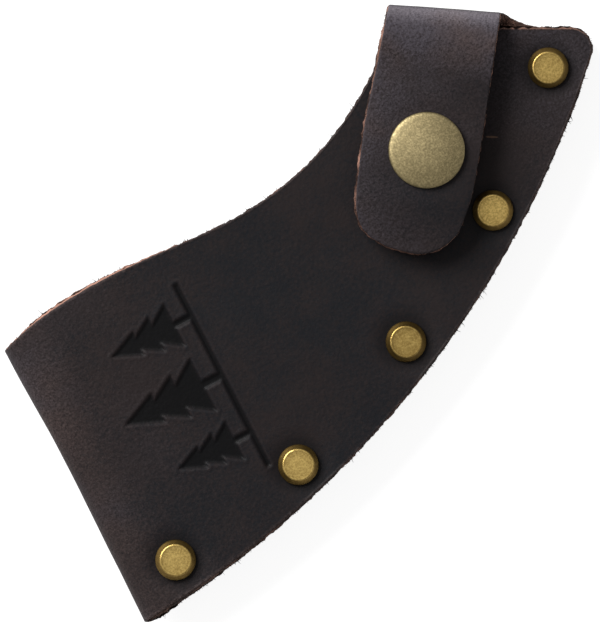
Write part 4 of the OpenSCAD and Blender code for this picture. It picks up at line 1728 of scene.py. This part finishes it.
@dataclass
class Studio:
    """A pale floor, a large soft light from the upper left, a fill above, and a long lens.

    The floor's half side and gap are in metres, and every other length in millimetres.
    """

    aim: tuple[float, float] = (-9.9, -2.8)
    roll: float = math.radians(-27.3)
    frame_h: float = 121.9
    subject_z: float = 11.4
    distance: float = 3000.0
    sensor: float = 36.0
    clip_end: float = 20.0
    key: Lamp = Lamp("key", (-0.62, 0.52, 0.62), 1.1, 0.72, 16.0)
    fill: Lamp = Lamp("fill", (0.0, 0.0, 1.0), 1.6, 0.9, 0.8)
    sky: Colour = (1.0, 1.0, 1.0)
    sky_strength: float = 0.27
    floor_half: float = 4.0
    floor_gap: float = 0.00005
    floor_colours: tuple[Colour, Colour] = ((0.36, 0.36, 0.36), (0.34, 0.34, 0.345))
    floor_glow: tuple[Colour, Colour] = ((0.86, 0.86, 0.86), (0.88, 0.88, 0.88))

    def build(self) -> None:
        """Makes the floor, the lights, the world and the scene's camera."""
        self.floor()
        right = np.array([math.cos(self.roll), math.sin(self.roll), 0.0])
        up = np.array([-right[1], right[0], 0.0])
        for lamp in (self.key, self.fill):
            lamp.build(right, up, np.array([0.0, 0.0, 1.0]))
        world = bpy.data.worlds.new("studio")
        world.use_nodes = True
        sky = world.node_tree.nodes["Background"].inputs
        sky["Color"].default_value = (*self.sky, 1.0)
        sky["Strength"].default_value = self.sky_strength
        bpy.context.scene.world = world
        bpy.context.scene.view_settings.view_transform = "Standard"
        self.camera()

    def camera(self) -> None:
        """Adds the camera, straight above the aim and turned by the roll."""
        lens = bpy.data.cameras.new("camera")
        lens.lens = self.sensor * self.distance / self.frame_h
        lens.sensor_width = self.sensor
        lens.clip_end = self.clip_end
        camera = bpy.data.objects.new("camera", lens)
        camera.location = (self.aim[0] * MM, self.aim[1] * MM, (self.subject_z + self.distance) * MM)
        camera.rotation_euler = (0.0, 0.0, self.roll)
        bpy.context.scene.collection.objects.link(camera)
        bpy.context.scene.camera = camera

    def floor(self) -> None:
        """Adds the pale floor just under the object."""
        low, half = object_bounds()[0][2] - self.floor_gap, self.floor_half
        corners = [(-half, -half, low), (half, -half, low), (half, half, low), (-half, half, low)]
        data = bpy.data.meshes.new("floor")
        data.from_pydata(corners, [], [(0, 1, 2, 3)])
        g = Graph("floor")
        cloud = g.noise(2.0, 2.0)
        colour = g.mix(cloud * 0.5, *self.floor_colours)
        glow = g.mix(cloud, *self.floor_glow)
        finish = g.finish(
            Roughness=0.8,
            Specular_IOR_Level=0.2,
            Base_Color=colour,
            Emission_Color=glow,
            Emission_Strength=1.0,
        )
        data.materials.append(finish)
        floor = bpy.data.objects.new("floor", data)
        bpy.context.scene.collection.objects.link(floor)
        floor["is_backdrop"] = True


# ---------------------------------------------------------------- making it


def metres(*points: tuple[float, float, float]) -> list[tuple[float, ...]]:
    """Points in millimetres as tuples in metres."""
    return [tuple(c * MM for c in point) for point in points]


def main() -> None:
    """Builds the sheath and its studio."""
    logging.basicConfig(level=logging.INFO, format="%(name)s: %(message)s")
    leathers = Leathers(GrainFinish().build(), FleshFinish().build(), CutFinish().build())
    fuzz_finish = FUZZ.build()
    low, high = box_mm("leather_body")
    count = sum(name.startswith("rivet_cap_") for name in frame["nodes"])
    rivets = np.array([centre_mm(f"rivet_cap_{i}") for i in range(1, count + 1)])
    strap_frame = StrapFrame()
    hide = Hide(Outline(low[0]), FoldSection(low[0], low[2], high[2]), rivets, leathers, strap_frame)
    front, front_rim = hide.front()
    back, back_rim = hide.back()
    for piece in (front, back):
        settle(piece, "sheath", "hide", "leather_body")
    welt_rims = []
    for seed, name in ((71, "welt_front"), (81, "welt_back")):
        piece, rim = hide.welt(name, seed)
        settle(piece, "sheath", "welt", name)
        welt_rims.append(rim)
    strap = Strap(strap_frame, leathers, hide, centre_mm("snap_cap"), box_mm("closure_strap")[1][2], low[2])
    root, root_rim = strap.root()
    flap, flap_rim = strap.flap()
    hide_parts("strap_lower_bend", "strap_bridge")
    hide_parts("strap_upper_bend", "closure_strap")
    flap_fuzz = STRAP_FIBRES.grow(flap_rim, FLAP_COUNT, 103).piece("strap_fuzz", [fuzz_finish])
    root_fuzz = STRAP_FIBRES.grow(root_rim, ROOT_COUNT, 104).piece("strap_root_fuzz", [fuzz_finish])
    for piece in (root, root_fuzz):
        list(metres(*strap.lower_fold))
        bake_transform(piece)
    for piece in (flap, flap_fuzz):
        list(metres(*strap.upper_fold))
        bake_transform(piece)
    edges = [(front_rim, HIDE_COUNT), (back_rim, HIDE_COUNT), *((rim, WELT_COUNT) for rim in welt_rims)]
    for k, (rim, fibre_count) in enumerate(edges):
        fuzz = EDGE_FIBRES.grow(rim, fibre_count, 110 + k).piece(f"edge_fuzz_{k + 1}", [fuzz_finish])
        settle(fuzz, "sheath", "hide")
    Rivets(count, RIVET_BRASS.build()).build()
    Snap(centre_mm("snap_cap"), SNAP_BRASS.build(), INNER_BRASS.build(), SPRING_STEEL.build()).build()
    Studio().build()


if __name__ == "__main__":
    main()
